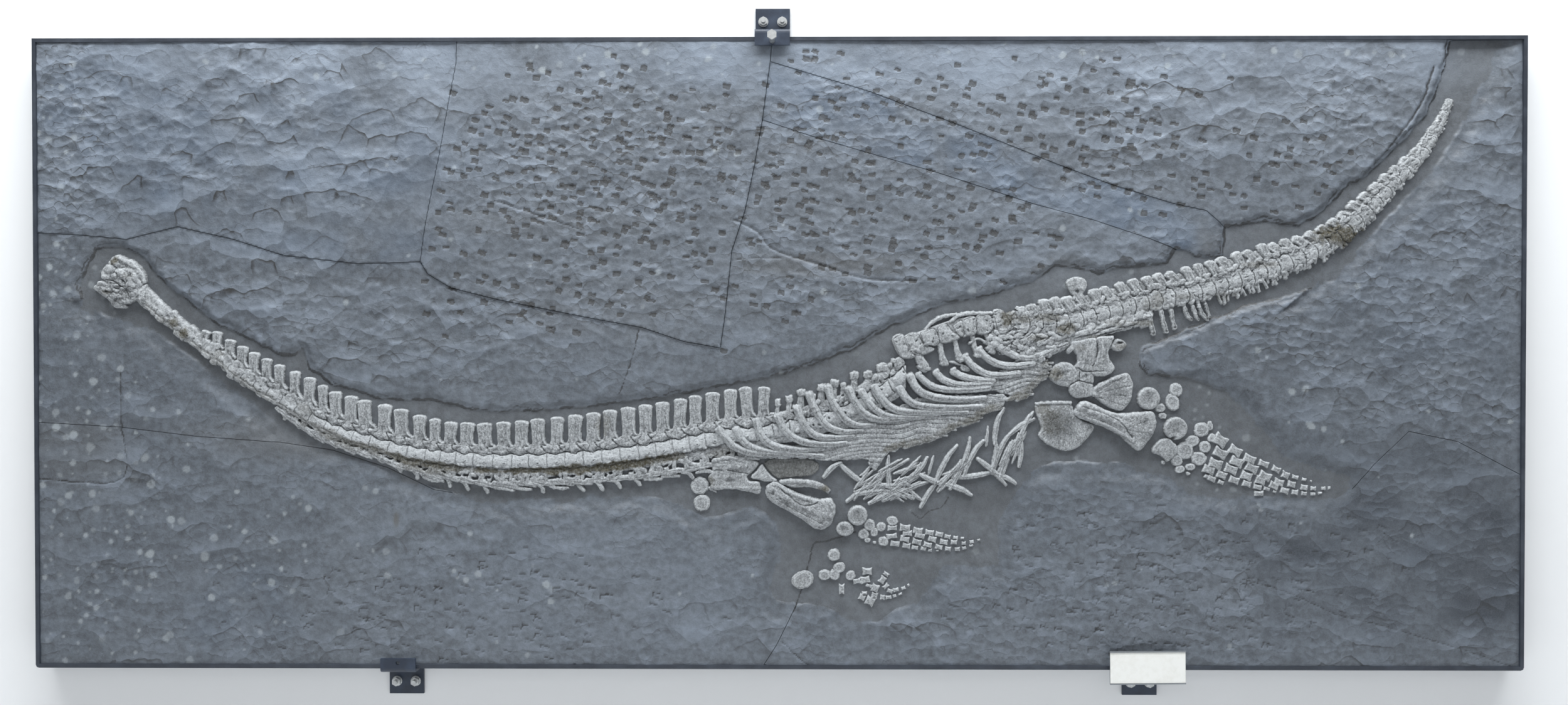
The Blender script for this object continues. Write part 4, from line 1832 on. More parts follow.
STRAND_ARCS = [
    [(1921, 731, 3, 52), (1936, 746, 3.6, 53), (1955, 757, 3.6, 53), (1986, 762, 3, 52)],
    [(1974, 747, 3.4, 54), (1988, 758, 4, 55), (2008, 764, 4.2, 55), (2038, 765, 3.6, 54), (2082, 766, 3, 53)],
    [(2015, 701, 2.4, 52), (2034, 711, 2.6, 52.5), (2049, 703, 2.4, 52)],
    [(1863, 690, 3, 55), (1874, 700, 3, 55), (1886, 698, 2.6, 54)],
]


@dataclass
class Strand:
    """The displaced row of arches over the back, with the stumps of its ribs."""

    name: str = "arch_strand"
    face: float = 55.0

    def build(self, material: bpy.types.Material) -> None:
        """Lays the blocks, knobs, stumps and thin arcs.

        Args:
            material: What it is made of.
        """
        bed = BoneRelief((1840, 630), (2130, 784))
        bed.plate([(1853, 704), (1900, 722), (1950, 742), (2000, 756), (2080, 762), (2110.5, 760), (2110.5, 722),
                   (2068, 724), (2030, 722), (1994, 716), (1950, 702), (1930, 698), (1900, 680), (1872, 690)], 51, 3)
        bed.plate([(2046, 704), (2062, 690), (2086, 678), (2128, 670), (2128, 764), (2090, 762), (2068, 735)], 51.6,
                  4, 1.0, 14, ragged=2.5)
        rubble(bed, (2058, 686), (2124, 752), 28, 54.0, 57.0, 420)
        bed.shine([(2070, 712), (2126, 728)], 16, 0.35)
        for number, block in enumerate(STRAND_BLOCKS):
            middle = np.mean(block, 0)
            shrunk = [tuple(middle + (np.array(corner) - middle) * 1.02) for corner in block]
            bed.plate(shrunk, self.face + pick(number, 1, -1.8, 1.6), 2.0, 1.2, pick(number, 2, 60, 120))
            bed.groove([*block, block[0]], 1.0, 1.6, 0.55)
            bed.shine([block[0], middle], 7, 0.3)
            for which in range(3):
                corner = np.array(block[(number + which) % len(block)])
                spot = middle + (corner - middle) * pick(number, 10 + which, 0.2, 0.8)
                bed.dent(*spot, pick(number, 20 + which, 2, 4.5), 1.8, 1.5, 0.6, pick(number, 30 + which, 0, 180))
        for which in range(16):
            u = pick(which, 40, 1885, 2105)
            foot = np.interp(u, [1858, 1900, 1950, 2000, 2050, 2108], [676, 684, 702, 716, 722, 722])
            bed.knob(u, foot + pick(which, 41, -2, 9), pick(which, 42, 5, 9), pick(which, 43, 3, 5),
                     pick(which, 44, 54, 57), pick(which, 45, -40, 60), deep=3)
        for stub in STRAND_STUBS:
            first = stub[0]
            bed.rod((first[0] - 3, first[1] + 16, first[2] + 1, first[3]), *stub, flat=0.6)
            (u, v, half, top) = stub[-1]
            bed.knob(u, v - 2, half, 4, top + 1, -10, 3.0, 0.8)
        for arc in STRAND_ARCS:
            bed.rod(*arc)
        bed.rod((1974, 660, 2.4, 50), (1993, 656, 2.6, 50), (2004, 649, 2.6, 50))
        bed.knob(2006, 647, 11, 6.5, 50.5, -20, deep=2)
        bed.stain(2098, 752, 16, 12, 0.85)
        bed.stain(2095, 765, 12, 6, 0.7)
        bed.weather(0.6, 8.0, 231)
        u, v = bed.middles()
        settle(bed.finish(self.name + "_bones", u < hip_start(v) - 1), material, "bone", self.name)


# The tail: the middle of its drums, with their height and the reach of the spines and stubs beside them
TAIL = [
    (2112, 742), (2200, 744), (2250, 752), (2300, 766), (2400, 790), (2500, 810), (2600, 839), (2650, 857),
    (2700, 875), (2750, 897), (2800, 927), (2850, 971), (2880, 1002), (2920, 1042), (2952, 1074), (2982, 1108),
    (3010, 1152), (3030, 1190), (3040, 1217),
]
TAIL_DRUM = [(2112, 44), (2500, 48), (2700, 46), (2800, 44), (2880, 40), (2950, 36), (3000, 28), (3040, 19)]
TAIL_RISE = [
    (2112, 22), (2136, 36), (2200, 54), (2300, 54), (2500, 56), (2600, 58), (2700, 52), (2800, 42), (2880, 33),
    (2950, 26), (3000, 19), (3040, 10),
]
TAIL_DROP = [
    (2112, 46), (2300, 50), (2385, 42), (2540, 42), (2600, 38), (2700, 33), (2800, 28),
    (2880, 24), (2950, 17), (3000, 12), (3040, 6),
]
TAIL_STUBS = [
    [(2399, 764, 5), (2404, 742, 4), (2410, 722, 5)], [(2426, 768, 4.5), (2431, 745, 4), (2437, 726, 5)],
    [(2447, 770, 4.5), (2450, 752, 4), (2455, 734, 5)], [(2476, 776, 4), (2482, 760, 4), (2491, 752, 3)],
    [(2493, 780, 3.5), (2499, 762, 3.5), (2506, 751, 3)], [(2506, 780, 3), (2513, 764, 4), (2524, 752, 3.4)],
    [(2520, 784, 3), (2526, 768, 3), (2530, 757, 2.6)],
]
TAIL_BREAKS = (0.252, 0.475, 0.725)
TAIL_COUNT = 38
RAGGED_TAIL_START = 2540
TAIL_STAINS = [
    (2211, 730, 13, 9, 0.85), (2199, 642, 8, 6, 0.6), (2400, 786, 16, 12, 0.4), (2806, 930, 44, 20, 1.0),
    (2130, 752, 16, 8, 0.6), (2330, 742, 20, 8, 0.4), (2560, 800, 26, 8, 0.3), (2160, 712, 20, 6, 0.5),
    (2290, 712, 24, 7, 0.5), (2415, 792, 12, 16, 0.5), (2180, 755, 32, 7, 0.6), (2640, 868, 34, 6, 0.5),
    (2100, 758, 12, 14, 0.5), (2392, 744, 34, 5, 0.5), (2474, 800, 20, 5, 0.4), (2226, 733, 12, 11, 0.8),
]


@dataclass
class TailBone:
    """One vertebra of the hips or the tail, numbered from the hips, with its own small differences."""

    here: Local
    pitch: float
    number: int
    face: float = 56.0

    def __post_init__(self) -> None:
        """Measures the tail at this bone: its reach above and below, its drum, and its size beside the largest."""
        self.rise, self.drop = at_level(TAIL_RISE, self.here.u), at_level(TAIL_DROP, self.here.u)
        self.body = at_level(TAIL_DRUM, self.here.u) * 0.37
        self.top = min(43.3 + 0.35 * self.body / 0.37, self.face)
        self.share = self.body / 17

    def odd(self, which: int, reach: float) -> float:
        """One of its own small differences."""
        return pick(self.number + 300, which, -reach, reach)

    def lay(self, bed: BoneRelief) -> None:
        """Lays the whole bone.

        Args:
            bed: Where it is laid.
        """
        self.comb(bed)
        self.drum(bed)
        self.crumbs(bed)
        if self.here.u > RAGGED_TAIL_START:
            self.rags(bed)

    def comb(self, bed: BoneRelief) -> None:
        """Lays the upright spine and the bone that joins it to the next.

        Args:
            bed: Where it is laid.
        """
        here, p, rise, share, odd = self.here, self.pitch, self.rise, self.share, self.odd
        w = (0.4 if self.number > 6 else 0.45) * p
        lean = -4.5 * share + odd(1, 2.5)
        up = Local(*here.put((-0.05 * p, 0.35 * rise))[0], here.angle + math.radians(8 + odd(2, 7)))
        high = 0.66 * rise + odd(3, 2)
        face = min(52.5, self.top - 1.2) + odd(4, 0.9)
        edge = [(-0.8 * w, -5), (-0.86 * w, 0.5 * high), (-0.95 * w + lean, 0.86 * high), (-0.7 * w + lean, high),
                (0.1 * w + lean, high + 1.5), (0.8 * w + lean, high - 1), (0.95 * w + lean * 0.7, 0.8 * high),
                (0.8 * w, 0.4 * high), (1.2 * w, -3), (0.4 * w, -8)]
        bed.rod(*here.put((-0.55 * p, 0.5 * rise, 0.34 * rise, face - 3.4),
                          (0.55 * p, 0.5 * rise, 0.34 * rise, face - 3)), flat=0.2)
        bed.plate(up.put(*edge), face, 2.4, 0.8, math.degrees(here.angle) + 95,
                  ragged=1.4 if self.number > 15 else 0.9)
        bed.shine(up.put((-0.7 * w + lean, high - 1), (0.7 * w + lean, high - 2)), 2.2 * share + 0.8,
                  0.3 + odd(140, 0.2))
        bed.rod(*up.put((-0.45 * w + lean, 0.8 * high, 2.2 * share, face + 1),
                        (-0.3 * w, 0.1 * high, 3 * share, face + 1.6)))
        bed.rod(*up.put((0.6 * w + lean, 0.7 * high, 2 * share, face + 0.6), (0.9 * w, -2, 2.8 * share, face + 1.4)))

    def drum(self, bed: BoneRelief) -> None:
        """Lays the drum, its joint to the next and the groove under its arch.

        Args:
            bed: Where it is laid.
        """
        here, p, body, top, share, odd = self.here, self.pitch, self.body, self.top, self.share, self.odd
        bed.rod(*here.put((-0.5 * p, 0.5 * body, 0.75 * body, top - 2.2),
                          (0.5 * p, 0.5 * body, 0.75 * body, top - 1.4)), flat=0.3)
        slope = (3.4 if self.number > 12 else 2.0) * share
        bed.rod(*here.put((-0.56 * p, -1 + odd(5, 1.5), body * 0.9, top - slope),
                          (0.0, odd(6, 1), body * 0.98, top - 0.5),
                          (0.46 * p, odd(7, 1), body, top + 0.4)), flat=0.4)
        bed.shine(here.put((-0.45 * p, -1), (0.45 * p, 0)), body * 0.9, 0.25 + odd(8, 0.15))
        joint = here.put((0.42 * p, 1.05 * body), (0.56 * p, 0.35 * body), (0.56 * p, -0.4 * body),
                         (0.4 * p, -1.1 * body))
        bed.groove(joint, 1.1 * share, 2.6 * share, 0.8)
        bed.shine([(u - 2.4 * share, v) for u, v in joint], 1.6 * share, 0.5)

    def crumbs(self, bed: BoneRelief) -> None:
        """Lays the lumps and cracks of the arch and the drum's lower edge.

        Args:
            bed: Where it is laid.
        """
        here, p, body, top, share, odd = self.here, self.pitch, self.body, self.top, self.share, self.odd
        degrees = math.degrees(here.angle)
        arch = 0.36 * self.rise + odd(9, 2)
        bed.groove(here.put((-0.5 * p, arch + odd(10, 2)), (-0.15 * p, arch - 3), (0.1 * p, arch + 2),
                            (0.36 * p, arch - 3)), 1.2 * share, 2.4 * share, 0.75)
        for which in range(5):
            place = here.put((odd(20 + which, 0.5) * p, arch + odd(30 + which, 9) * share))[0]
            bed.knob(*place, (8 + odd(15 + which, 2)) * share, (5 + odd(40 + which, 1)) * share,
                     top + odd(45 + which, 0.9) - 0.4, degrees + odd(50 + which, 60), 2.8, deep=2.0 * share)
            u, v = here.put((odd(60 + which, 0.5) * p, odd(70 + which, 1.0) * body + 5 * share))[0]
            bed.groove([(u, v), (u + odd(80 + which, 8), v + odd(85 + which, 6))], 1.0 * share, 1.8 * share, 0.55)
        for which in range(4):
            place = here.put((odd(100 + which, 0.5) * p, -body * 0.95 + odd(105 + which, 3) * share))[0]
            bed.knob(*place, 6.5 * share, 4.2 * share, top - 2.2 + odd(110 + which, 1),
                     degrees + odd(115 + which, 50), deep=3 * share)

    def rags(self, bed: BoneRelief) -> None:
        """Lays the ragged ends that hang below the drum.

        Args:
            bed: Where it is laid.
        """
        here, p, body, top, number = self.here, self.pitch, self.body, self.top, self.number
        for which in range(5):
            long = self.drop * pick(number, 120 + which, 0.6, 1.0)
            side = pick(number, 125 + which, -0.5, 0.5)
            half = pick(number, 130 + which, 1.8, 3.6) * self.share
            bed.rod(*here.put((side * p, -body * 0.8, half, top - 3),
                              ((side + self.odd(135 + which, 0.2)) * p, -long, half, top - 5)), flat=0.7)


@dataclass
class Tail:
    """The hips' stretch of the spine and the tail, in four runs."""

    names: tuple = ("hip_column", "tail_base", "tail_middle", "tail_tip")

    def at(self, path: np.ndarray, run: np.ndarray, where: float) -> tuple[float, float]:
        """The place a distance along the tail."""
        return float(np.interp(where, run, path[:, 0])), float(np.interp(where, run, path[:, 1]))

    def hips(self, bed: BoneRelief) -> None:
        """Lays the loose fan over the hips and the crushed bone, splinters and lumps along them.

        Args:
            bed: Where they are laid.
        """
        bed.plate([(2221, 830), (2232, 840), (2246, 843), (2262, 838), (2267, 824), (2256, 803), (2246, 797),
                   (2236, 803)], 52, 4, 1.5, fan=(2246, 780))
        bed.dent(2246, 812, 5, 5, 2, 0.8)
        bed.plate([(2092, 764), (2160, 782), (2260, 790), (2340, 800), (2400, 800), (2404, 742), (2370, 734),
                   (2320, 722), (2270, 704), (2225, 690), (2195, 676), (2150, 668), (2092, 670)], 51.6, 4, 1.0, 14,
                  ragged=2.5)
        rubble(bed, (2092, 668), (2235, 768), 70, 54.0, 57.0, 400)
        bed.shine([(2092, 728), (2210, 722), (2330, 752), (2420, 776)], 16, 0.35)
        bed.shine([(2120, 692), (2200, 700)], 8, 0.3)
        for which in range(14):
            u = pick(which, 170, 2240, 2390)
            v = at_level(TAIL, u) - pick(which, 171, 26, 42)
            bed.rod((u - 18, v - 6, 3, 53), (u, v, 4.4, 54.5), (u + 20, v + pick(which, 172, 0, 7), 3, 53), flat=0.6)
            bed.groove([(u - 18, v - 9), (u, v - 4.5), (u + 18, v - 1)], 0.9, 1.6, 0.6)
        for which in range(26):
            u = pick(which, 60, 2116, 2380)
            v = at_level(TAIL, u) + pick(which, 61, -34, 18)
            bed.knob(u, v, pick(which, 62, 6, 13), pick(which, 63, 4, 7), pick(which, 64, 54.5, 57),
                     pick(which, 65, -20, 60), 2.8, deep=2)

    def build(self, material: bpy.types.Material) -> None:
        """Lays the tail and cuts it at its breaks.

        Args:
            material: What the pieces are made of.
        """
        path = rounded(TAIL, 4.0)
        run = np.concatenate([[0], np.cumsum(np.hypot(*np.diff(path, axis=0).T))])
        pitch = run[-1] / TAIL_COUNT
        bed = BoneRelief((2090, 634), (3062, 1240))
        for number in range(TAIL_COUNT):
            where = (number + 0.5) * pitch
            (u, v), (u0, v0), (u1, v1) = (self.at(path, run, where + step) for step in (0, -6, 6))
            TailBone(Local(u, v, math.atan2(v1 - v0, u1 - u0)), pitch, number).lay(bed)
        self.hips(bed)
        for stub in TAIL_STUBS:
            (u, v, half), *_ = stub
            bed.rod((u - 4, v + 15, half, 50.5), (u, v, half, 50.5), flat=0.5)
            bed.rod(*[(u, v, half, 52.6 - 1.1 * place) for place, (u, v, half) in enumerate(stub)], flat=0.4)
            bed.groove([(u + 0.3 * half, v) for u, v, half in stub], 0.8, 1.5, 0.55)
            bed.dent(stub[-1][0], stub[-1][1], 0.9 * half, 0.6 * half, 1.6, 0.6)
        for u, v, half_u, half_v, amount in TAIL_STAINS:
            bed.stain(u, v, half_u, half_v, amount)
        bed.weather(0.6, 7.0, 241)
        centre_u, centre_v = bed.middles()
        along = near_line(centre_u, centre_v, path[::3])[1]
        share = along / run[-1]
        ends = (0.0, *TAIL_BREAKS, 1.01)
        for name, low, high in zip(self.names, ends[:-1], ends[1:]):
            part = (share >= low) & (share < high) & (centre_u > hip_start(centre_v))
            settle(bed.finish(name + "_bones", part), material, "bone", name)


# Ribs over the column, from the head of each down to its tip on the sheaf
RIBS = {
    "rib_a": [[(1478, 514), (1492, 498), (1508, 480), (1540, 467), (1580, 463), (1620, 462)],
              [(1515, 514), (1526, 495), (1543, 479), (1575, 469), (1625, 464), (1700, 459)]],
    "rib_c": [[(1558, 532), (1565, 508), (1580, 489), (1605, 477), (1650, 472), (1700, 474)]],
    "rib_d": [[(1604, 542), (1618, 515), (1640, 497), (1668, 487), (1710, 484), (1750, 487)]],
    "rib_e": [[(1645, 560), (1656, 534), (1672, 511), (1692, 500), (1725, 498), (1765, 502)]],
    "rib_f": [[(1672, 588), (1682, 562), (1696, 538), (1716, 519), (1745, 511), (1785, 514)]],
    "rib_g": [[(1712, 604), (1719, 580), (1732, 557), (1750, 536), (1775, 524), (1812, 526)]],
    "rib_h": [[(1757, 600), (1767, 579), (1782, 558), (1806, 541), (1840, 537), (1885, 540)],
              [(1784, 596), (1798, 574), (1816, 556), (1842, 544), (1885, 542), (1950, 545)]],
    "rib_j": [[(1812, 605), (1826, 584), (1842, 566), (1868, 555), (1930, 553), (2010, 553)]],
    "rib_l": [[(1866, 602), (1880, 582), (1900, 569), (1935, 564), (1985, 563), (2040, 566)]],
    "rib_m": [[(1888, 628), (1902, 604), (1926, 589), (1960, 582), (2000, 580), (2048, 584)]],
}
UPPER_RIBS = [
    [(1906, 631), (1930, 611), (1960, 602), (2005, 601), (2056, 606)],
    [(1944, 636), (1962, 621), (1990, 612), (2030, 612), (2060, 614)],
    [(1980, 640), (2002, 629), (2035, 622), (2065, 621)],
    [(2006, 670), (2028, 648), (2054, 634), (2085, 632), (2120, 636)],
    [(2036, 686), (2054, 668), (2080, 655), (2115, 652), (2150, 658)],
    [(2080, 692), (2100, 680), (2125, 671), (2160, 672), (2195, 688)],
]
LOWER_SHEAF = [
    (1560, 455), (1650, 454), (1720, 449), (1790, 452), (1800, 440), (1812, 428), (1822, 440), (1845, 470),
    (1870, 480), (1905, 484), (1950, 500), (1990, 522), (2030, 534), (2050, 552), (2080, 560), (2092, 578),
    (2090, 590), (2040, 590), (1945, 588), (1900, 580), (1880, 570), (1800, 545), (1700, 500), (1640, 480),
]
UPPER_SHEAF = [
    (2094.5, 592), (2110, 582), (2138, 586), (2150, 604), (2175, 628), (2186, 650), (2180, 664), (2160, 672),
    (2130, 668), (2100, 655), (2080, 640), (2050, 622), (2000, 618), (2000, 608), (2042, 604),
]


@dataclass
class Trunk:
    """The ribs over the column and the sheaf that their ends are pressed into."""

    half: float = 7.4
    over_column: float = 62.0
    on_sheaf: float = 56.5
    sheaf_face: float = 53.0

    def rib(self, name: str, lines: Sequence[Line], material: bpy.types.Material, seed: int) -> None:
        """Makes one rib, or two that lie on each other.

        Args:
            name: The node that it stands for.
            lines: The middle line of each rib, from its head.
            material: What it is made of.
            seed: Picks its own small differences.
        """
        bed = BoneRelief(*box_of(lines, 14), waver=0.5)
        for number, line in enumerate(lines):
            widths = (1.15, 1.0, 1.0, 1.0, 0.85, 0.6)
            high, low = self.over_column, self.on_sheaf
            tops = (high, high, high - 0.5, high - 2, low + 1, low - 2)
            points = [(u, v, self.half * widths[k], tops[k] - number) for k, (u, v) in enumerate(line)]
            bed.rod(*points, flat=0.5)
            shifted = [(u + 1.6, v + 3.0, 2.2, top + 0.4) for u, v, _, top in points[1:-1]]
            bed.rod(*shifted)
            bed.shine([(u + 0.8, v + 1.6) for u, v, _, _ in points], 2.6, 0.45)
            bed.groove([(u - 0.4, v - 0.8) for u, v, _, _ in points[1:]], 0.8, 1.1, 0.55)
            bed.groove([(u - 1.6, v - 3.4) for u, v, _, _ in points[2:]], 0.7, 0.9, 0.45)
            head = points[0]
            fork = Local(head[0], head[1], math.atan2(head[1] - points[1][1], head[0] - points[1][0]))
            bed.knob(*fork.put((1, 3.4))[0], 6.5, 3.6, head[3] + 0.2, math.degrees(fork.angle) + 16, 2.6, 0.4)
            bed.knob(*fork.put((0, -3.6))[0], 5.5, 3.2, head[3] - 0.6, math.degrees(fork.angle) - 18, 2.6, 0.4)
            for which in range(3):
                place = points[1 + which]
                following = points[2 + which]
                t = pick(seed + number, which, 0, 1)
                u, v = (place[axis] * (1 - t) + following[axis] * t for axis in (0, 1))
                slope = math.degrees(math.atan2(following[1] - place[1], following[0] - place[0]))
                across = Local(u, v, math.radians(slope + 90 + pick(seed, which + 5, -20, 20)))
                bed.groove(across.put((-5, 0), (5, 0)), 0.6, 0.9, 0.6)
        bed.weather(0.35, 8.0, 251 + seed)
        settle(bed.finish(name + "_bone"), material, "bone", name)

    def sheaf(self, name: str, outline: Line, edge: Line, ribs: Sequence[Line], grain: float,
              material: bpy.types.Material) -> None:
        """Makes a sheaf of rib ends, ragged along one edge, with whole ribs on it if given.

        Args:
            name: The node that it stands for.
            outline: The sheaf's outline.
            edge: The stretch of the outline that is ragged.
            ribs: Middle lines of the whole ribs.
            grain: Direction of the rib ends in degrees.
            material: What it is made of.
        """
        bed = BoneRelief(*box_of([outline, *ribs], 14), waver=0.5)
        bed.strands(outline, self.sheaf_face, 10.0, 1.8, 15.0, grain)
        for line in ribs:
            bed.rod(*[(u, v, 7.2, self.sheaf_face + 2.6) for u, v in line], flat=0.5)
            u, v = line[0]
            bed.knob(u, v + 2, 7.4, 4.2, self.sheaf_face + 3, 50, 2.6, 0.6)
            bed.shine([(u + 0.8, v + 1.6) for u, v in line], 2.6, 0.45)
            bed.groove([(u + 1, v - 1.8) for u, v in line[1:]], 0.8, 1.2, 0.55)
        path = rounded(edge, 7.0)
        for number, (u, v) in enumerate(path):
            lean = math.radians(grain + 4 + pick(number, 21, -14, 14))
            here = Local(float(u), float(v), lean)
            bed.rod(*here.put((-22, 1, 3.6, self.sheaf_face - 1),
                              (pick(number, 22, 0, 11), 0, 2.4, self.sheaf_face - 3.5)), flat=0.5)
            if number % 2:
                bed.stain(float(u) - 4, float(v) + 3, 16, 7, pick(number, 23, 0.3, 0.7), grain + 20)
        bed.weather(0.4, 6.0, 261)
        settle(bed.finish(name + "_bones"), material, "bone", name)

    def build(self, material: bpy.types.Material) -> None:
        """Makes every rib and both sheaves.

        Args:
            material: What the pieces are made of.
        """
        for seed, (name, lines) in enumerate(RIBS.items()):
            self.rib(name, lines, material, seed)
        self.sheaf("rib_sheaf_lower", LOWER_SHEAF, LOWER_SHEAF[7:15], [], 3.0, material)
        self.sheaf("rib_sheaf_upper", UPPER_SHEAF, UPPER_SHEAF[1:7], UPPER_RIBS, 12.0, material)


# Belly rods, crossed and grown together where they lie on each other: start, bend sideways, end
BELLY_LEFT = [
    (1752, 360, 1884, 450, 4), (1772, 376, 1846, 382, 2), (1800, 356, 1900, 422, -4), (1830, 362, 1925, 402, 3),
    (1800, 396, 1880, 396, -2), (1842, 388, 1895, 366, 2), (1846, 384, 1842, 458, 3), (1872, 398, 1925, 455, -5),
    (1736, 443, 1800, 396, -5), (1703, 413, 1740, 444, 4),
]
BELLY_RIGHT = [
    (1911, 348, 1949, 404, 3), (1910, 419, 1964, 397, -3), (1958, 400, 2020, 374, 3), (1942, 398, 1989, 480, 5),
    (1974, 388, 2017, 497, -6), (2003, 414, 2046, 491, 6), (1984, 412, 2066, 425, -3), (2033, 452, 2094, 396, 3),
    (2060, 424, 2115, 399, 3), (2063, 424, 2072, 490, -4), (2070, 484, 2089, 560, 6), (2066, 424, 2108, 512, 6),
    (2082, 414, 2122, 500, 5), (2104, 506, 2154, 538, 3), (2122, 436, 2125, 500, -3), (2124, 494, 2152, 552, 4),
]


# Where thin splinters of the belly rods lie thick: box, count, leans in degrees
SPLINTERS = {
    "belly_ribs_left": (((1776, 374), (1900, 446), 34, (12, 62)), ((1840, 372), (1905, 400), 6, (-40, -10))),
    "belly_ribs_right": (((1930, 392), (2000, 440), 12, (10, 75)), ((2050, 420), (2130, 505), 12, (45, 85))),
}


@dataclass
class BellyRods:
    """The crossed rods of the belly, in two groups."""

    half: float = 5.0
    top: float = 49.5

    def splinter(self, bed: BoneRelief, low: Point, high: Point, leans: Point, seed: int) -> None:
        """Lays one thin split rod somewhere in a box.

        Args:
            bed: Where it is laid.
            low: The box's lower left corner.
            high: Its upper right corner.
            leans: Least and greatest lean in degrees.
            seed: Picks the splinter.
        """
        here = Local(pick(seed, 1, low[0], high[0]), pick(seed, 2, low[1], high[1]),
                     math.radians(pick(seed, 3, *leans)))
        reach, half, top = pick(seed, 4, 14, 32), pick(seed, 5, 2.4, 4), self.top + pick(seed, 6, -1, 2)
        line = here.put((-reach, 0, half * 0.5, top - 1.5), (-reach * 0.3, pick(seed, 7, -2, 2), half, top),
                        (reach * 0.5, 0, half * 0.8, top), (reach, 0, half * 0.35, top - 1.5))
        bed.rod(*line, flat=0.4)
        bed.groove([(u, v - 0.6) for u, v, _, _ in line], 0.7, 1.0, 0.6)
        bed.shine([(u, v + 0.8) for u, v, _, _ in line], 1.4, 0.4)

    def build(self, material: bpy.types.Material) -> None:
        """Makes both groups.

        Args:
            material: What the pieces are made of.
        """
        for name, rods in (("belly_ribs_left", BELLY_LEFT), ("belly_ribs_right", BELLY_RIGHT)):
            ends = [[(u0, v0), (u1, v1)] for u0, v0, u1, v1, _ in rods]
            bed = BoneRelief(*box_of(ends, 14), waver=0.5)
            for number, (u0, v0, u1, v1, bend) in enumerate(rods):
                here = Local((u0 + u1) / 2, (v0 + v1) / 2, math.atan2(v1 - v0, u1 - u0))
                reach = math.hypot(u1 - u0, v1 - v0) / 2
                top = self.top + pick(number, 71, -0.8, 1.6)
                line = here.put((-reach, 0, self.half * 0.75, top - 1),
                                (-reach * 0.4, bend * 0.8, self.half * 1.1, top),
                                (reach * 0.4, bend, self.half, top), (reach, 0, self.half * 0.6, top - 1.5))
                bed.rod(*line, flat=0.4)
                bed.groove([(u + 0.6, v - 1.3) for u, v, _, _ in line], 0.8, 1.0, 0.55)
                bed.shine([(u - 0.4, v + 1.0) for u, v, _, _ in line], 2.0, 0.4)
            for low, high, count, leans in SPLINTERS[name]:
                for which in range(count):
                    self.splinter(bed, low, high, leans, which + count * 10)
            bed.weather(0.3, 6.0, 271)
            settle(bed.finish(name + "_rods"), material, "bone", name)


@dataclass(frozen=True)
class FlatBone:
    """One of the larger bones.

    Args:
        name: The node that it stands for.
        outline: Its outline.
        top: Depth of its face.
        edge: How far its rounded edge reaches in.
        dome: How much its middle stands over its edge.
        grain: Direction of its fibres in degrees.
        fan: Where its fibres spread from, if they do.
        rough: Height of its roughness.
        ridges: Rods on it, each of (u, v, half width, top) points.
        knobs: Lumps, as (u, v, half width, half height, top, angle).
        dents: Hollows, as (u, v, half width, half height, depth, darkness, angle).
        grooves: Grooves, as (points, width, depth, darkness).
        stains: Brown patches, as (u, v, half width, half height, amount, angle).
        layers: Further plates on it, as (outline, top, edge, dome, grain).
        waver: How far its outline wanders.
        dark: True for the darker kind of bone.
    """

    name: str
    outline: tuple
    top: float
    edge: float = 4.0
    dome: float = 1.0
    grain: float = 0.0
    fan: Point | None = None
    rough: float = 0.6
    ridges: tuple = ()
    knobs: tuple = ()
    dents: tuple = ()
    grooves: tuple = ()
    stains: tuple = ()
    layers: tuple = ()
    waver: float = 1.0
    dark: bool = False

    def build(self, pale: bpy.types.Material, brown: bpy.types.Material) -> None:
        """Makes the bone.

        Args:
            pale: The usual kind of bone.
            brown: The darker kind.
        """
        bed = BoneRelief(*box_of([self.outline], 10), waver=self.waver)
        bed.plate(self.outline, self.top, self.edge, self.dome, self.grain, self.fan, 0.8 * self.waver)
        for layer in self.layers:
            bed.plate(*layer, None, 0.8)
        for ridge in self.ridges:
            bed.rod(*ridge, flat=0.5)
        for knob in self.knobs:
            bed.knob(*knob, deep=3)
        for groove in self.grooves:
            bed.groove(*groove)
        for dent in self.dents:
            bed.dent(*dent)
        for stain in self.stains:
            bed.stain(*stain)
        bed.weather(self.rough, 10.0, 281 + int(self.outline[0][0]) % 50)
        slot = "dark_bone" if self.dark else "bone"
        settle(bed.finish(self.name + "_bone"), brown if self.dark else pale, slot, self.name)


def oval_outline(u: float, v: float, half_u: float, half_v: float, count: int = 16) -> tuple:
    """The outline of an oval."""
    turns = [2 * math.pi * k / count for k in range(count)]
    return tuple((u + half_u * math.cos(t), v + half_v * math.sin(t)) for t in turns)


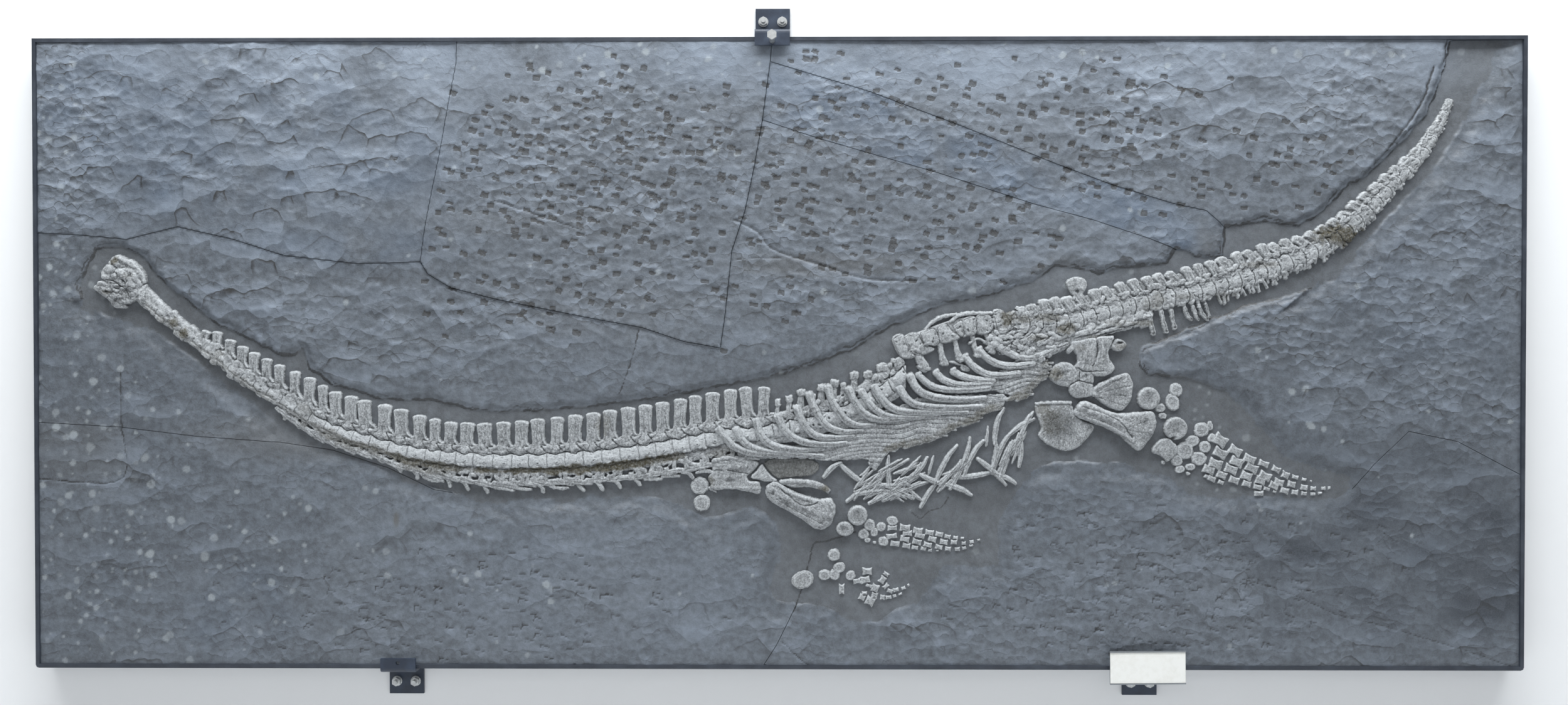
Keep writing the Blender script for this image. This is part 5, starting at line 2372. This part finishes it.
FLAT_BONES = (
    FlatBone("front_girdle", ((1454, 412), (1463, 430), (1462, 449), (1500, 456), (1540, 452), (1562, 444),
             (1552, 428), (1538, 414), (1544, 404), (1564, 402), (1564, 378), (1530, 383), (1500, 388), (1475, 384),
             (1462, 388), (1457, 402)),
             53.5, 5, 1.5, fan=(1500, 420),
             ridges=(((1466, 448, 5, 54.5), (1500, 454, 4, 54.5), (1550, 443, 3, 53)), ((1462, 392, 4, 54),
                     (1500, 391, 4, 54.4), (1558, 388, 4, 54))),
             dents=((1515, 425, 26, 8, 2.5, 0.35, 5), (1500, 405, 12, 5, 2, 0.3, 0), (1545, 408, 6, 4, 4, 0.7, 0)),
             grooves=((((1458, 425), (1490, 428), (1540, 420)), 1.2, 1.4, 0.7),),
             stains=((1458, 405, 8, 10, 0.6),)),
    FlatBone("girdle_wedge", ((1546, 412), (1558, 427), (1570, 441), (1576, 430), (1590, 414), (1602, 405),
             (1582, 402), (1568, 405)),
             51, 3, 0.8, grain=40),
    FlatBone("coracoid_plate", ((1574, 443), (1592, 452), (1620, 453), (1660, 452), (1683, 447), (1692, 436),
             (1685, 421), (1660, 414), (1620, 411), (1604, 409), (1592, 417), (1579, 432)),
             47, 2, 0.8, fan=(1640, 350), dark=True,
             dents=((1630, 432, 26, 10, 1.0, 0.2, 0),)),
    FlatBone("shoulder_blade", ((1606, 403), (1622, 408), (1650, 408), (1680, 404), (1703, 396), (1716, 384),
             (1712, 377), (1700, 384), (1672, 391), (1640, 390), (1622, 394)),
             52, 4, 0.6, grain=-6,
             ridges=(((1612, 402, 4, 52.6), (1650, 403, 4.4, 53), (1698, 393, 3.5, 52)),),
             stains=((1704, 388, 12, 9, 0.85),)),
    FlatBone("humerus", ((1576, 385), (1583, 397), (1595, 403), (1608, 399), (1622, 391), (1642, 381), (1665, 368),
             (1690, 365), (1714, 368), (1724, 358), (1728, 343), (1725, 328), (1718, 312), (1708, 303), (1695, 300),
             (1678, 305), (1660, 319), (1640, 331), (1615, 345), (1590, 360), (1579, 371)),
             58.5, 9, 3, grain=-30, rough=0.8,
             ridges=(((1586, 388, 7, 59.5), (1612, 375, 8, 60), (1650, 352, 8, 60.4), (1690, 335, 9, 60),
                     (1715, 330, 6, 59)), ((1596, 396, 4, 58.5), (1640, 375, 4, 58), (1690, 360, 4, 58.5))),
             dents=((1594, 380, 7, 5, 1.6, 0.5, 40), (1700, 318, 9, 5, 1.5, 0.4, 60),
                    (1662, 342, 14, 3.5, 1.5, 0.4, -30)),
             grooves=((((1600, 366), (1650, 338), (1700, 312)), 1.0, 1.2, 0.4), (((1604, 393), (1628, 373),
                      (1646, 358), (1668, 352), (1690, 360)), 1.5, 2.0, 0.6))),
    FlatBone("ilium", ((2285, 706), (2302, 716), (2324, 716), (2321, 702), (2332, 709), (2346, 706), (2352, 697),
             (2344, 687), (2330, 684), (2317, 690), (2312, 678), (2316, 666), (2324, 654), (2323, 640), (2306, 630),
             (2282, 630), (2280, 608), (2278, 592), (2266, 584), (2244, 584), (2230, 594), (2229, 606), (2206, 612),
             (2188, 626), (2192, 646), (2204, 657), (2224, 660), (2238, 650), (2246, 662), (2242, 680), (2234, 694),
             (2262, 700)),
             52, 4, 1.0, grain=80, rough=0.7,
             layers=((((2232, 702), (2256, 708), (2286, 711), (2286, 676), (2278, 652), (2268, 640), (2250, 642),
                     (2241, 652), (2248, 664), (2242, 680)), 56, 5, 1.6, 95), (((2287, 712), (2322, 715), (2318, 698),
                     (2311, 678), (2314, 664), (2308, 650), (2286, 646), (2277, 654), (2287, 674), (2292, 692)), 57,
                     4, 1.4, 70), (((2274, 658), (2296, 664), (2322, 656), (2323, 641), (2304, 631), (2280, 633),
                     (2268, 644)), 56.5, 5, 1.5, 10), (((2190, 640), (2202, 655), (2224, 659), (2242, 648),
                     (2250, 632), (2240, 613), (2222, 609), (2200, 617), (2188, 628)), 55.5, 6, 1.5, 150),
                     (((2244, 648), (2268, 648), (2280, 634), (2280, 616), (2262, 612), (2248, 618)), 54.5, 5, 1.2,
                     100), (((2230, 612), (2246, 620), (2264, 617), (2279, 612), (2278, 592), (2266, 585),
                     (2244, 585), (2230, 595)), 55.5, 4, 1.2, 90)),
             knobs=((2334, 697, 15, 12, 55, 10), (2204, 640, 14, 10, 57, 20), (2196, 628, 9, 8, 56, 0),
                    (2214, 628, 10, 8, 56.5, 40), (2210, 648, 9, 6, 56, -20)),
             ridges=(((2252, 692, 4, 57), (2262, 672, 5, 57.4), (2256, 648, 4, 57)), ((2300, 706, 4, 58),
                     (2300, 680, 4, 58.4), (2296, 660, 4, 58))),
             dents=((2262, 630, 9, 5, 2.2, 0.3, 20), (2220, 636, 12, 6, 1.8, 0.35, 20), (2336, 702, 9, 3, 3, 0.75, 5),
                    (2205, 634, 8, 4, 2, 0.4, 70)),
             grooves=((((2287, 700), (2288, 676), (2278, 652)), 1.1, 2.4, 0.85), (((2246, 648), (2262, 640),
                      (2300, 642)), 1.1, 2, 0.7), (((2230, 612), (2248, 620), (2279, 613)), 1.1, 2, 0.7),
                      (((2250, 640), (2250, 616)), 1.1, 2, 0.6)),
             stains=((2200, 634, 14, 12, 0.7), (2338, 694, 12, 8, 0.5), (2250, 692, 12, 6, 0.3))),
    FlatBone("pubis", ((2160, 573), (2200, 574), (2230, 577), (2238, 560), (2243, 545), (2262, 533), (2283, 522),
             (2270, 498), (2252, 480), (2230, 470), (2205, 474), (2180, 486), (2164, 502), (2170, 520), (2160, 545)),
             51, 4, 1, fan=(2240, 590), rough=0.4,
             ridges=(((2160, 571, 3, 52), (2200, 573, 3, 52.5), (2232, 573, 3, 52)),),
             dents=((2208, 524, 42, 40, 0, 0.5, 0),),
             stains=((2192, 532, 24, 24, 0.55), (2175, 560, 16, 10, 0.6))),
    FlatBone("ischium_fan", ((2276, 596), (2290, 612), (2316, 626), (2340, 634), (2356, 634), (2365, 615),
             (2364, 590), (2354, 568), (2338, 556), (2318, 562), (2292, 578)),
             53.5, 5, 1.4, fan=(2268, 588), rough=0.5,
             ridges=(((2282, 592, 5, 54.5), (2300, 588, 5, 54), (2340, 590, 4, 53)), ((2292, 606, 3, 54),
                     (2320, 622, 3, 54), (2352, 630, 3, 53.5))),
             dents=((2325, 600, 30, 26, 0.6, 0.42, 10),),
             grooves=((((2286, 595), (2345, 630)), 0.9, 0.9, 0.4), (((2286, 593), (2362, 610)), 0.9, 0.9, 0.4),
                      (((2286, 590), (2360, 588)), 0.9, 0.9, 0.4), (((2288, 586), (2345, 566)), 0.9, 0.9, 0.4))),
    FlatBone("femur", ((2238, 552), (2247, 570), (2258, 578), (2274, 574), (2292, 565), (2320, 553), (2350, 550),
             (2385, 554), (2405, 555), (2413, 545), (2415, 525), (2408, 505), (2396, 488), (2382, 471), (2370, 473),
             (2356, 487), (2335, 505), (2305, 520), (2275, 531), (2248, 541)),
             60, 9, 3, grain=-22, rough=0.8,
             ridges=(((2252, 562, 7, 61.5), (2285, 551, 8, 61.6), (2330, 533, 9, 62), (2375, 517, 10, 61),
                     (2402, 512, 6, 60)), ((2266, 542, 4, 60), (2320, 520, 4, 60), (2365, 492, 5, 60))),
             dents=((2262, 558, 7, 6, 2, 0.5, 0), (2390, 530, 10, 6, 1.6, 0.35, 60),
                    (2330, 545, 14, 3, 1.2, 0.35, -20)),
             grooves=((((2256, 566), (2300, 551), (2335, 533), (2362, 500)), 1.5, 2.0, 0.6), (((2262, 545),
                      (2310, 528), (2345, 508)), 1.0, 1.2, 0.4), (((2350, 520), (2400, 535)), 1.0, 0.8, 0.3))),
    FlatBone("hind_fan", ((2406, 468), (2412, 482), (2426, 494), (2442, 497), (2452, 488), (2461, 480), (2459, 462),
             (2448, 452), (2439, 447), (2428, 458)),
             52.5, 4, 1.2, fan=(2440, 500)),
    FlatBone("radius_disc", oval_outline(1775, 330, 21, 21),
             55, 4, -0.6, fan=(1775, 330), waver=0.35,
             dents=((1775, 331, 12, 12, 2.0, 0.3, 0),)),
    FlatBone("ulna_disc", oval_outline(1748, 301, 19, 15),
             53, 4, -0.4, fan=(1748, 301), waver=0.35,
             dents=((1747, 301, 10, 8, 1.6, 0.3, 0),)),
    FlatBone("shin_disc", oval_outline(2399, 582, 24, 24),
             55, 5, -0.6, fan=(2399, 582), waver=0.35,
             dents=((2399, 583, 13, 13, 2.2, 0.3, 0),)),
    FlatBone("calf_disc", oval_outline(2457, 518, 25, 24),
             54, 5, -0.6, fan=(2457, 518), waver=0.35,
             dents=((2457, 519, 14, 13, 2.0, 0.3, 0), (2450, 497, 7, 4, 5, 0.7, 20))),
)


@dataclass
class Skull:
    """The crushed skull: two lobes of broken plates and lumps."""

    roof: tuple = ((148, 858), (158, 873), (170, 888), (183, 892), (203, 880), (222, 862), (236, 840), (234, 824),
                   (215, 812), (190, 818), (165, 826), (145, 842))
    jaw: tuple = ((129, 818), (140, 832), (165, 832), (190, 824), (215, 822), (240, 815), (238, 796), (225, 790),
                  (210, 792), (195, 783), (180, 776), (165, 786), (155, 799), (138, 808))

    def build(self, material: bpy.types.Material) -> None:
        """Makes the skull.

        Args:
            material: What it is made of.
        """
        bed = BoneRelief((118, 764), (250, 902), 1.1)
        bed.plate(self.roof, 59, 8, 2, 120, ragged=2)
        bed.plate(self.jaw, 56, 6, 1.5, 150, ragged=2)
        bed.rod(*NECK_START[:3], flat=0.4)
        bed.shine([(150, 850), (185, 868), (220, 840), (235, 815)], 16, 0.35)
        ridges = [
            [(189, 882, 4, 62), (212, 871, 5, 62.5), (230, 852, 5, 61), (237, 834, 4, 58)],
            [(143, 830, 4, 58), (170, 827, 5, 58.5), (194, 809, 5, 58), (205, 793, 4, 56)],
            [(141, 819, 3.5, 57), (158, 804, 4, 57.5), (178, 786, 4, 57), (194, 780, 3, 55)],
            [(151, 819, 3.5, 56.5), (172, 804, 4, 57), (189, 793, 4, 56.5)],
            [(203, 793, 5, 57), (219, 802, 6, 58), (233, 815, 6, 57.5), (240, 822, 4, 56)],
            [(180, 836, 4, 60.5), (200, 825, 4.5, 61), (222, 812, 4, 59.5)],
            [(168, 866, 4, 61), (184, 858, 4, 62), (206, 858, 4, 62)],
        ]
        for ridge in ridges:
            bed.rod(*[(u, v, half * 1.2, top - 1.4) for u, v, half, top in ridge], flat=0.5)
        rubble(bed, (166, 800), (226, 868), 15, 58.5, 61.5, 700)
        for knob in ((165, 861, 10, 9, 63, 20), (154, 845, 7, 6, 60, 0), (195, 850, 13, 10, 63.5, -30),
                     (211, 826, 12, 9, 62.5, 10), (182, 873, 8, 7, 62.5, 0), (220, 843, 8, 11, 62, 20),
                     (176, 846, 7, 6, 62, 0), (186, 803, 9, 5, 59, -40), (214, 806, 8, 6, 59, 20),
                     (165, 816, 8, 4, 58, -20)):
            bed.knob(*knob, deep=4)
        grooves = [
            ([(158, 838), (178, 833), (199, 817), (205, 803)], 1.2, 2.4, 0.6),
            ([(170, 870), (186, 862), (205, 866)], 1.0, 1.2, 0.4),
            ([(150, 812), (168, 800), (186, 787)], 1.0, 1.2, 0.4),
            ([(200, 800), (215, 795), (228, 805)], 1.0, 1.2, 0.4),
            ([(200, 818), (212, 822), (222, 818)], 1.0, 1.2, 0.4),
        ]
        for groove in grooves:
            bed.groove(*groove)
        bed.dent(157, 812, 4, 3, 3, 0.9)
        bed.dent(196, 836, 5, 2.5, 3, 0.8, -30)
        bed.stain(178, 879, 8, 8, 0.9)
        bed.stain(157, 812, 7, 5, 0.6)
        bed.stain(205, 845, 12, 6, 0.3)
        bed.weather(1.5, 10.0, 311)
        middle, _ = bed.middles()
        settle(bed.finish("skull_bones", middle < 242), material, "bone", "skull")


class Small(Enum):
    """The two shapes of a paddle's small bones, with the depth of their waist."""

    SPOOL = 0.3
    DISC = 0.0


# Toe bones in rows out along each paddle, as (u, v, length, width)
TOES = {
    "fore_paddle": [
        [(1850, 303, 20, 10), (1877, 303, 22, 14), (1905, 297, 20, 12), (1930, 293, 18, 10), (1951, 289, 16, 9),
         (1969, 284, 13, 8), (1986, 282, 10, 6), (2001, 281, 8, 4)],
        [(1849, 285, 22, 10), (1882, 291, 20, 10), (1909, 286, 22, 9), (1936, 279, 18, 12), (1961, 273, 17, 11),
         (1983, 272, 14, 9), (2004, 270, 10, 7), (2021, 273, 9, 6), (2036, 277, 7, 4)],
        [(1877, 279, 20, 12), (1903, 273, 20, 12), (1926, 267, 18, 10), (1950, 262, 16, 9), (1970, 258, 13, 9),
         (1990, 257, 11, 7), (2005, 260, 9, 6), (2020, 265, 9, 4)],
        [(1856, 269, 20, 11), (1880, 265, 17, 11), (1899, 261, 14, 9), (1917, 258, 12, 7), (1931, 255, 8, 5),
         (1947, 254, 6, 3)],
    ],
    "hind_paddle": [
        [(2554, 492, 29, 23), (2586, 470, 28, 18), (2617, 452, 26, 16), (2647, 442, 22, 12), (2674, 430, 18, 11),
         (2694, 418, 16, 13), (2715, 413, 14, 8), (2734, 408, 10, 6), (2749, 404, 4, 4)],
        [(2554, 465, 29, 19), (2589, 446, 28, 19), (2621, 433, 27, 17), (2650, 416, 26, 16), (2680, 402, 20, 13),
         (2707, 398, 18, 13), (2734, 391, 15, 10), (2754, 389, 12, 8), (2775, 389, 9, 6), (2788, 390, 5, 5)],
        [(2544, 442, 28, 19), (2577, 430, 27, 18), (2610, 416, 24, 17), (2640, 406, 22, 16), (2669, 395, 20, 14),
         (2692, 384, 18, 12), (2714, 381, 14, 10), (2734, 378, 12, 8), (2753, 377, 10, 5), (2769, 379, 9, 4)],
        [(2529, 429, 25, 17), (2557, 418, 22, 15), (2584, 407, 22, 14), (2611, 399, 19, 12), (2634, 392, 18, 10),
         (2654, 388, 14, 7), (2671, 382, 8, 5)],
        [(2525, 415, 10, 8), (2536, 410, 17, 10), (2556, 402, 13, 8)], [(2637, 378, 20, 10)],
    ],
    "lower_paddle": [
        [(1796, 209, 20, 14)], [(1774, 188, 16, 10), (1792, 191, 20, 14)], [(1800, 178, 14, 6), (1813, 173, 16, 16)],
        [(1790, 162, 12, 7)], [(1785, 153, 14, 12), (1802, 145, 19, 18)],
        [(1812, 157, 14, 13), (1829, 153, 10, 9), (1842, 153, 13, 7), (1855, 156, 8, 6), (1867, 160, 9, 4)],
        [(1836, 177, 9, 13), (1845, 167, 13, 8), (1858, 169, 12, 7), (1874, 173, 9, 6), (1885, 179, 5, 5)],
        [(1829, 191, 16, 13), (1837, 203, 8, 12)], [(1741, 170, 12, 22)],
    ],
}
# Wrist and ankle bones and loose discs, as (u, v, half width, half height, angle)
ROUNDS = {
    "fore_paddle": [(1801, 309, 11, 11, 0), (1826, 305, 9, 9, 0), (1850, 318, 11, 9, 0), (1788, 290, 10, 10, 0),
                    (1811, 294, 8, 8, 0), (1797, 277, 6, 5, 0), (1831, 274, 10, 9, 0), (1812, 271, 2.5, 2.5, 0)],
    "hind_paddle": [(2459, 601, 13, 13, 0), (2451, 574, 13, 17, 20), (2425, 562, 10, 8, 0), (2430, 545, 8, 6, 0),
                    (2493, 490, 14, 11, 30), (2513, 515, 14, 14, 0), (2532, 523, 6, 9, 0), (2478, 470, 17, 17, 0),
                    (2461, 449, 11, 11, 0), (2508, 453, 15, 13, 0), (2521, 478, 11, 11, 0), (2535, 497, 9, 7, 40),
                    (2467, 430, 10, 7, 0), (2490, 435, 10, 6, 0), (2485, 421, 4, 3.5, 0), (2432, 444, 4, 4, 0)],
    "lower_paddle": [(1657, 191, 22, 17, 20), (1724, 245, 12, 12, 0), (1736, 217, 12, 10, 30), (1704, 201, 12, 10, 0),
                     (1726, 202, 10, 11, 0), (1760, 200, 10, 9, 40)],
    "throat": [(1435, 394, 18, 17, 20), (1440, 357, 16, 16, 0)],
}


@dataclass
class SmallBones:
    """The little bones of the paddles, which lie loose on the channel's floor."""

    top: float = 49.0
    cell: float = 1.2

    def place(self, bed: BoneRelief, kind: Small, u: float, v: float, half_u: float, half_v: float,
              angle: float) -> None:
        """Lays one small bone, with its pale rim.

        Args:
            bed: Where it is laid.
            kind: Its shape.
            u: Its middle.
            v: Its middle.
            half_u: Half its length.
            half_v: Half its width.
            angle: Direction of its length in degrees.
        """
        here = Local(u, v, math.radians(angle))
        level = self.top - 0.25 * max(0.0, 12 - half_u)
        if kind is Small.DISC:
            bed.knob(u, v, half_u * 1.08, half_v * 1.08, level, angle, 2.2, min(1.0, 0.1 * half_u), 0,
                     deep=min(2.4, 0.3 * half_v))
            edge = [here.put((0.84 * half_u * math.cos(t), 0.84 * half_v * math.sin(t)))[0]
                    for t in np.arange(0, 6.3, 0.7)]
        else:
            x, y, w = half_u * 1.04, half_v * 1.12, half_v * (1.12 - kind.value)
            edge = here.put((-x, -y), (-0.3 * x, -w), (0.3 * x, -w), (x, -y), (0.94 * x, 0), (x, y), (0.3 * x, w),
                            (-0.3 * x, w), (-x, y), (-0.94 * x, 0))
            bed.plate(edge, level, min(1.8, 0.3 * half_v), 0.3, angle, ragged=0.5)
        bed.shine([*edge, edge[0]], 1.5, 0.5)

    def build(self, material: bpy.types.Material) -> None:
        """Makes a piece of each paddle's small bones.

        Args:
            material: What the pieces are made of.
        """
        for name, rounds in ROUNDS.items():
            rows = TOES.get(name, [])
            bed = BoneRelief(*box_of([*rows, rounds], 30), self.cell)
            for row in rows:
                for step, (u, v, long, wide) in enumerate(row):
                    (from_u, from_v, *_), (to_u, to_v, *_) = row[max(step - 1, 0)], row[min(step + 1, len(row) - 1)]
                    angle = math.degrees(math.atan2(to_v - from_v, to_u - from_u))
                    self.place(bed, Small.SPOOL, u, v, long / 2 - 0.6, wide / 2, angle)
            for u, v, half_u, half_v, angle in rounds:
                self.place(bed, Small.DISC, u, v, half_u, half_v, angle)
            if name == "throat":
                bed.rod((1457, 388, 4, 49), (1480, 380, 5, 49.5), (1502, 374, 4, 49))
            bed.weather(0.2, 7.0, 331)
            settle(bed.finish(name + "_bones"), material, "bone", "shale_main")


@dataclass(frozen=True)
class MetalFinish:
    """A painted or plated metal, worn along its edges, with light streaks and dust."""

    name: str
    ground: Point
    worn: Point
    roughness: float
    metallic: float = 0.0
    scale: float = 25.0

    def build(self) -> bpy.types.Material:
        """Makes the material.

        Returns:
            The material.
        """
        material, s, shader = new_material(self.name)
        where = s.node("TexCoord").outputs["Object"]
        cloud = s.grain(where, self.scale, 4.0, 0.6)
        speck = s.grain(where, 600.0, 2.0, 0.6)
        made = s.tint(s.between(cloud, 0.42, 0.75, 0.0, 0.5), self.ground, self.worn)
        made = s.tint(s.between(speck, 0.6, 0.78, 0.0, 0.35), made, self.worn)
        shader.inputs["Metallic"].default_value = self.metallic
        s.tree.links.new(made, shader.inputs["Base Color"])
        s.tree.links.new(s.between(cloud, 0.3, 0.7, self.roughness - 0.08, self.roughness + 0.1),
                         shader.inputs["Roughness"])
        bump = s.node("Bump", None, Strength=0.25, Distance=0.0005, Height=speck)
        s.tree.links.new(bump.outputs[0], shader.inputs["Normal"])
        return material


@dataclass
class Mounting:
    """The frame, brackets, anchors, clamp screw and label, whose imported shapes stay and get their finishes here."""

    finishes: tuple = (
        (MetalFinish("steel_paint", colour(44, 49, 58), colour(72, 79, 90), 0.5), ("steel_frame",)),
        (MetalFinish("bracket_paint", colour(38, 46, 60), colour(68, 82, 102), 0.45),
         ("bracket_top", "bracket_lower_left", "bracket_lower_right")),
        (MetalFinish("zinc", colour(206, 208, 208), colour(140, 140, 138), 0.34, 0.75, 90.0),
         ("anchor_top_a", "anchor_top_b", "anchor_lower_left_a", "anchor_lower_left_b", "anchor_lower_right_a",
          "anchor_lower_right_b", "clamp_screw")),
        (MetalFinish("label_rail", colour(150, 154, 158), colour(120, 124, 128), 0.35, 0.7), ("label_holder",)),
        (MetalFinish("card", colour(232, 232, 228), colour(214, 212, 204), 0.75, 0.0, 60.0), ("label_card",)),
    )

    def build(self) -> None:
        """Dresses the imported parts."""
        for finish, names in self.finishes:
            material = finish.build()
            for name in names:
                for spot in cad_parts[name].material_slots:
                    spot.material = material
                log.info("%s: %s", name, finish.name)


@dataclass
class Studio:
    """A pale wall and floor, soft light from overhead and the camera."""

    wall_white: Point = colour(240, 241, 242)
    wall_half_width: float = 6.0
    wall_top: float = 2.6
    floor_level: float = -2.5
    camera_place: Point = (0.0466, -2.726, -0.6965)
    camera_tilt: Point = (-0.633, 0.006, 0.468)
    focal_pixels: float = 1985.8
    picture_width: float = 2500.0
    sensor: float = 36.0

    def backdrop(self) -> None:
        """Makes the wall, which is open to view from behind, and the floor."""
        material, s, shader = new_material("plain_wall")
        shader.inputs["Base Color"].default_value = self.wall_white
        shader.inputs["Roughness"].default_value = 0.9
        clear = s.node("BsdfTransparent").outputs[0]
        behind = s.node("NewGeometry").outputs["Backfacing"]
        both = s.node("MixShader", None, i0=behind, i1=shader.outputs[0], i2=clear).outputs[0]
        s.tree.links.new(both, s.tree.nodes["Material Output"].inputs["Surface"])
        sizes = {
            "wall": [(-1, 0, self.floor_level), (1, 0, self.floor_level), (1, 0, self.wall_top),
                     (-1, 0, self.wall_top)],
            "floor": [(-1, 0, self.floor_level), (-1, -6, self.floor_level), (1, -6, self.floor_level),
                      (1, 0, self.floor_level)],
        }
        for name, corners in sizes.items():
            bm = bmesh.new()
            bm.faces.new([bm.verts.new((x * self.wall_half_width, y, z)) for x, y, z in corners])
            mesh = bpy.data.meshes.new(name)
            bm.to_mesh(mesh)
            bm.free()
            obj = bpy.data.objects.new(name, mesh)
            obj.data.materials.append(material)
            bpy.context.scene.collection.objects.link(obj)

    def light(self, name: str, place: Point, target: Point, size: Point, power: float, tone: Point) -> None:
        """Hangs a soft rectangular light.

        Args:
            name: Its name.
            place: Where it hangs.
            target: What it faces.
            size: Its width and height.
            power: Its power in watts.
            tone: Its colour.
        """
        data = bpy.data.lights.new(name, "AREA")
        data.shape = "RECTANGLE"
        data.size, data.size_y = size
        data.energy = power
        data.color = tone
        obj = bpy.data.objects.new(name, data)
        obj.location = place
        obj.rotation_euler = (Vector(target) - Vector(place)).to_track_quat("-Z", "Y").to_euler()
        bpy.context.scene.collection.objects.link(obj)

    def build(self) -> None:
        """Sets up the backdrop, the lights, the sky and the camera."""
        self.backdrop()
        self.light("overhead", (0.0, -1.3, 2.4), (0, 0, -0.7), (6.5, 1.2), 330.0, (0.95, 0.98, 1.0))
        self.light("front", (0.0, -5.5, 1.2), (0, 0, -0.7), (7.0, 3.0), 40.0, (0.98, 0.99, 1.0))
        world = bpy.data.worlds.new("studio")
        world.use_nodes = True
        world.node_tree.nodes["Background"].inputs["Color"].default_value = (0.93, 0.96, 1.0, 1.0)
        world.node_tree.nodes["Background"].inputs["Strength"].default_value = 0.2
        bpy.context.scene.world = world
        bpy.context.scene.view_settings.view_transform = "Standard"
        data = bpy.data.cameras.new("camera")
        data.sensor_width = self.sensor
        data.lens = self.sensor * self.focal_pixels / self.picture_width
        camera = bpy.data.objects.new("camera", data)
        camera.location = self.camera_place
        rx, ry, rz = (math.radians(a) for a in self.camera_tilt)
        camera.rotation_euler = (math.pi / 2 + rx, ry, rz)
        bpy.context.scene.collection.objects.link(camera)
        bpy.context.scene.camera = camera


def main() -> None:
    """Builds everything in order."""
    logging.basicConfig(level=logging.INFO, format="%(name)s: %(message)s")
    Studio().build()
    Slab().build()
    bone = BoneFinish().build()
    dark = BoneFinish("dark_bone", colour(96, 98, 98), colour(140, 142, 142), colour(56, 54, 50)).build()
    for part in (Skull(), Spine(), Strand(), Tail(), Trunk(), BellyRods(), SmallBones()):
        part.build(bone)
    for part in FLAT_BONES:
        part.build(bone, dark)
    Mounting().build()


if __name__ == "__main__":
    main()
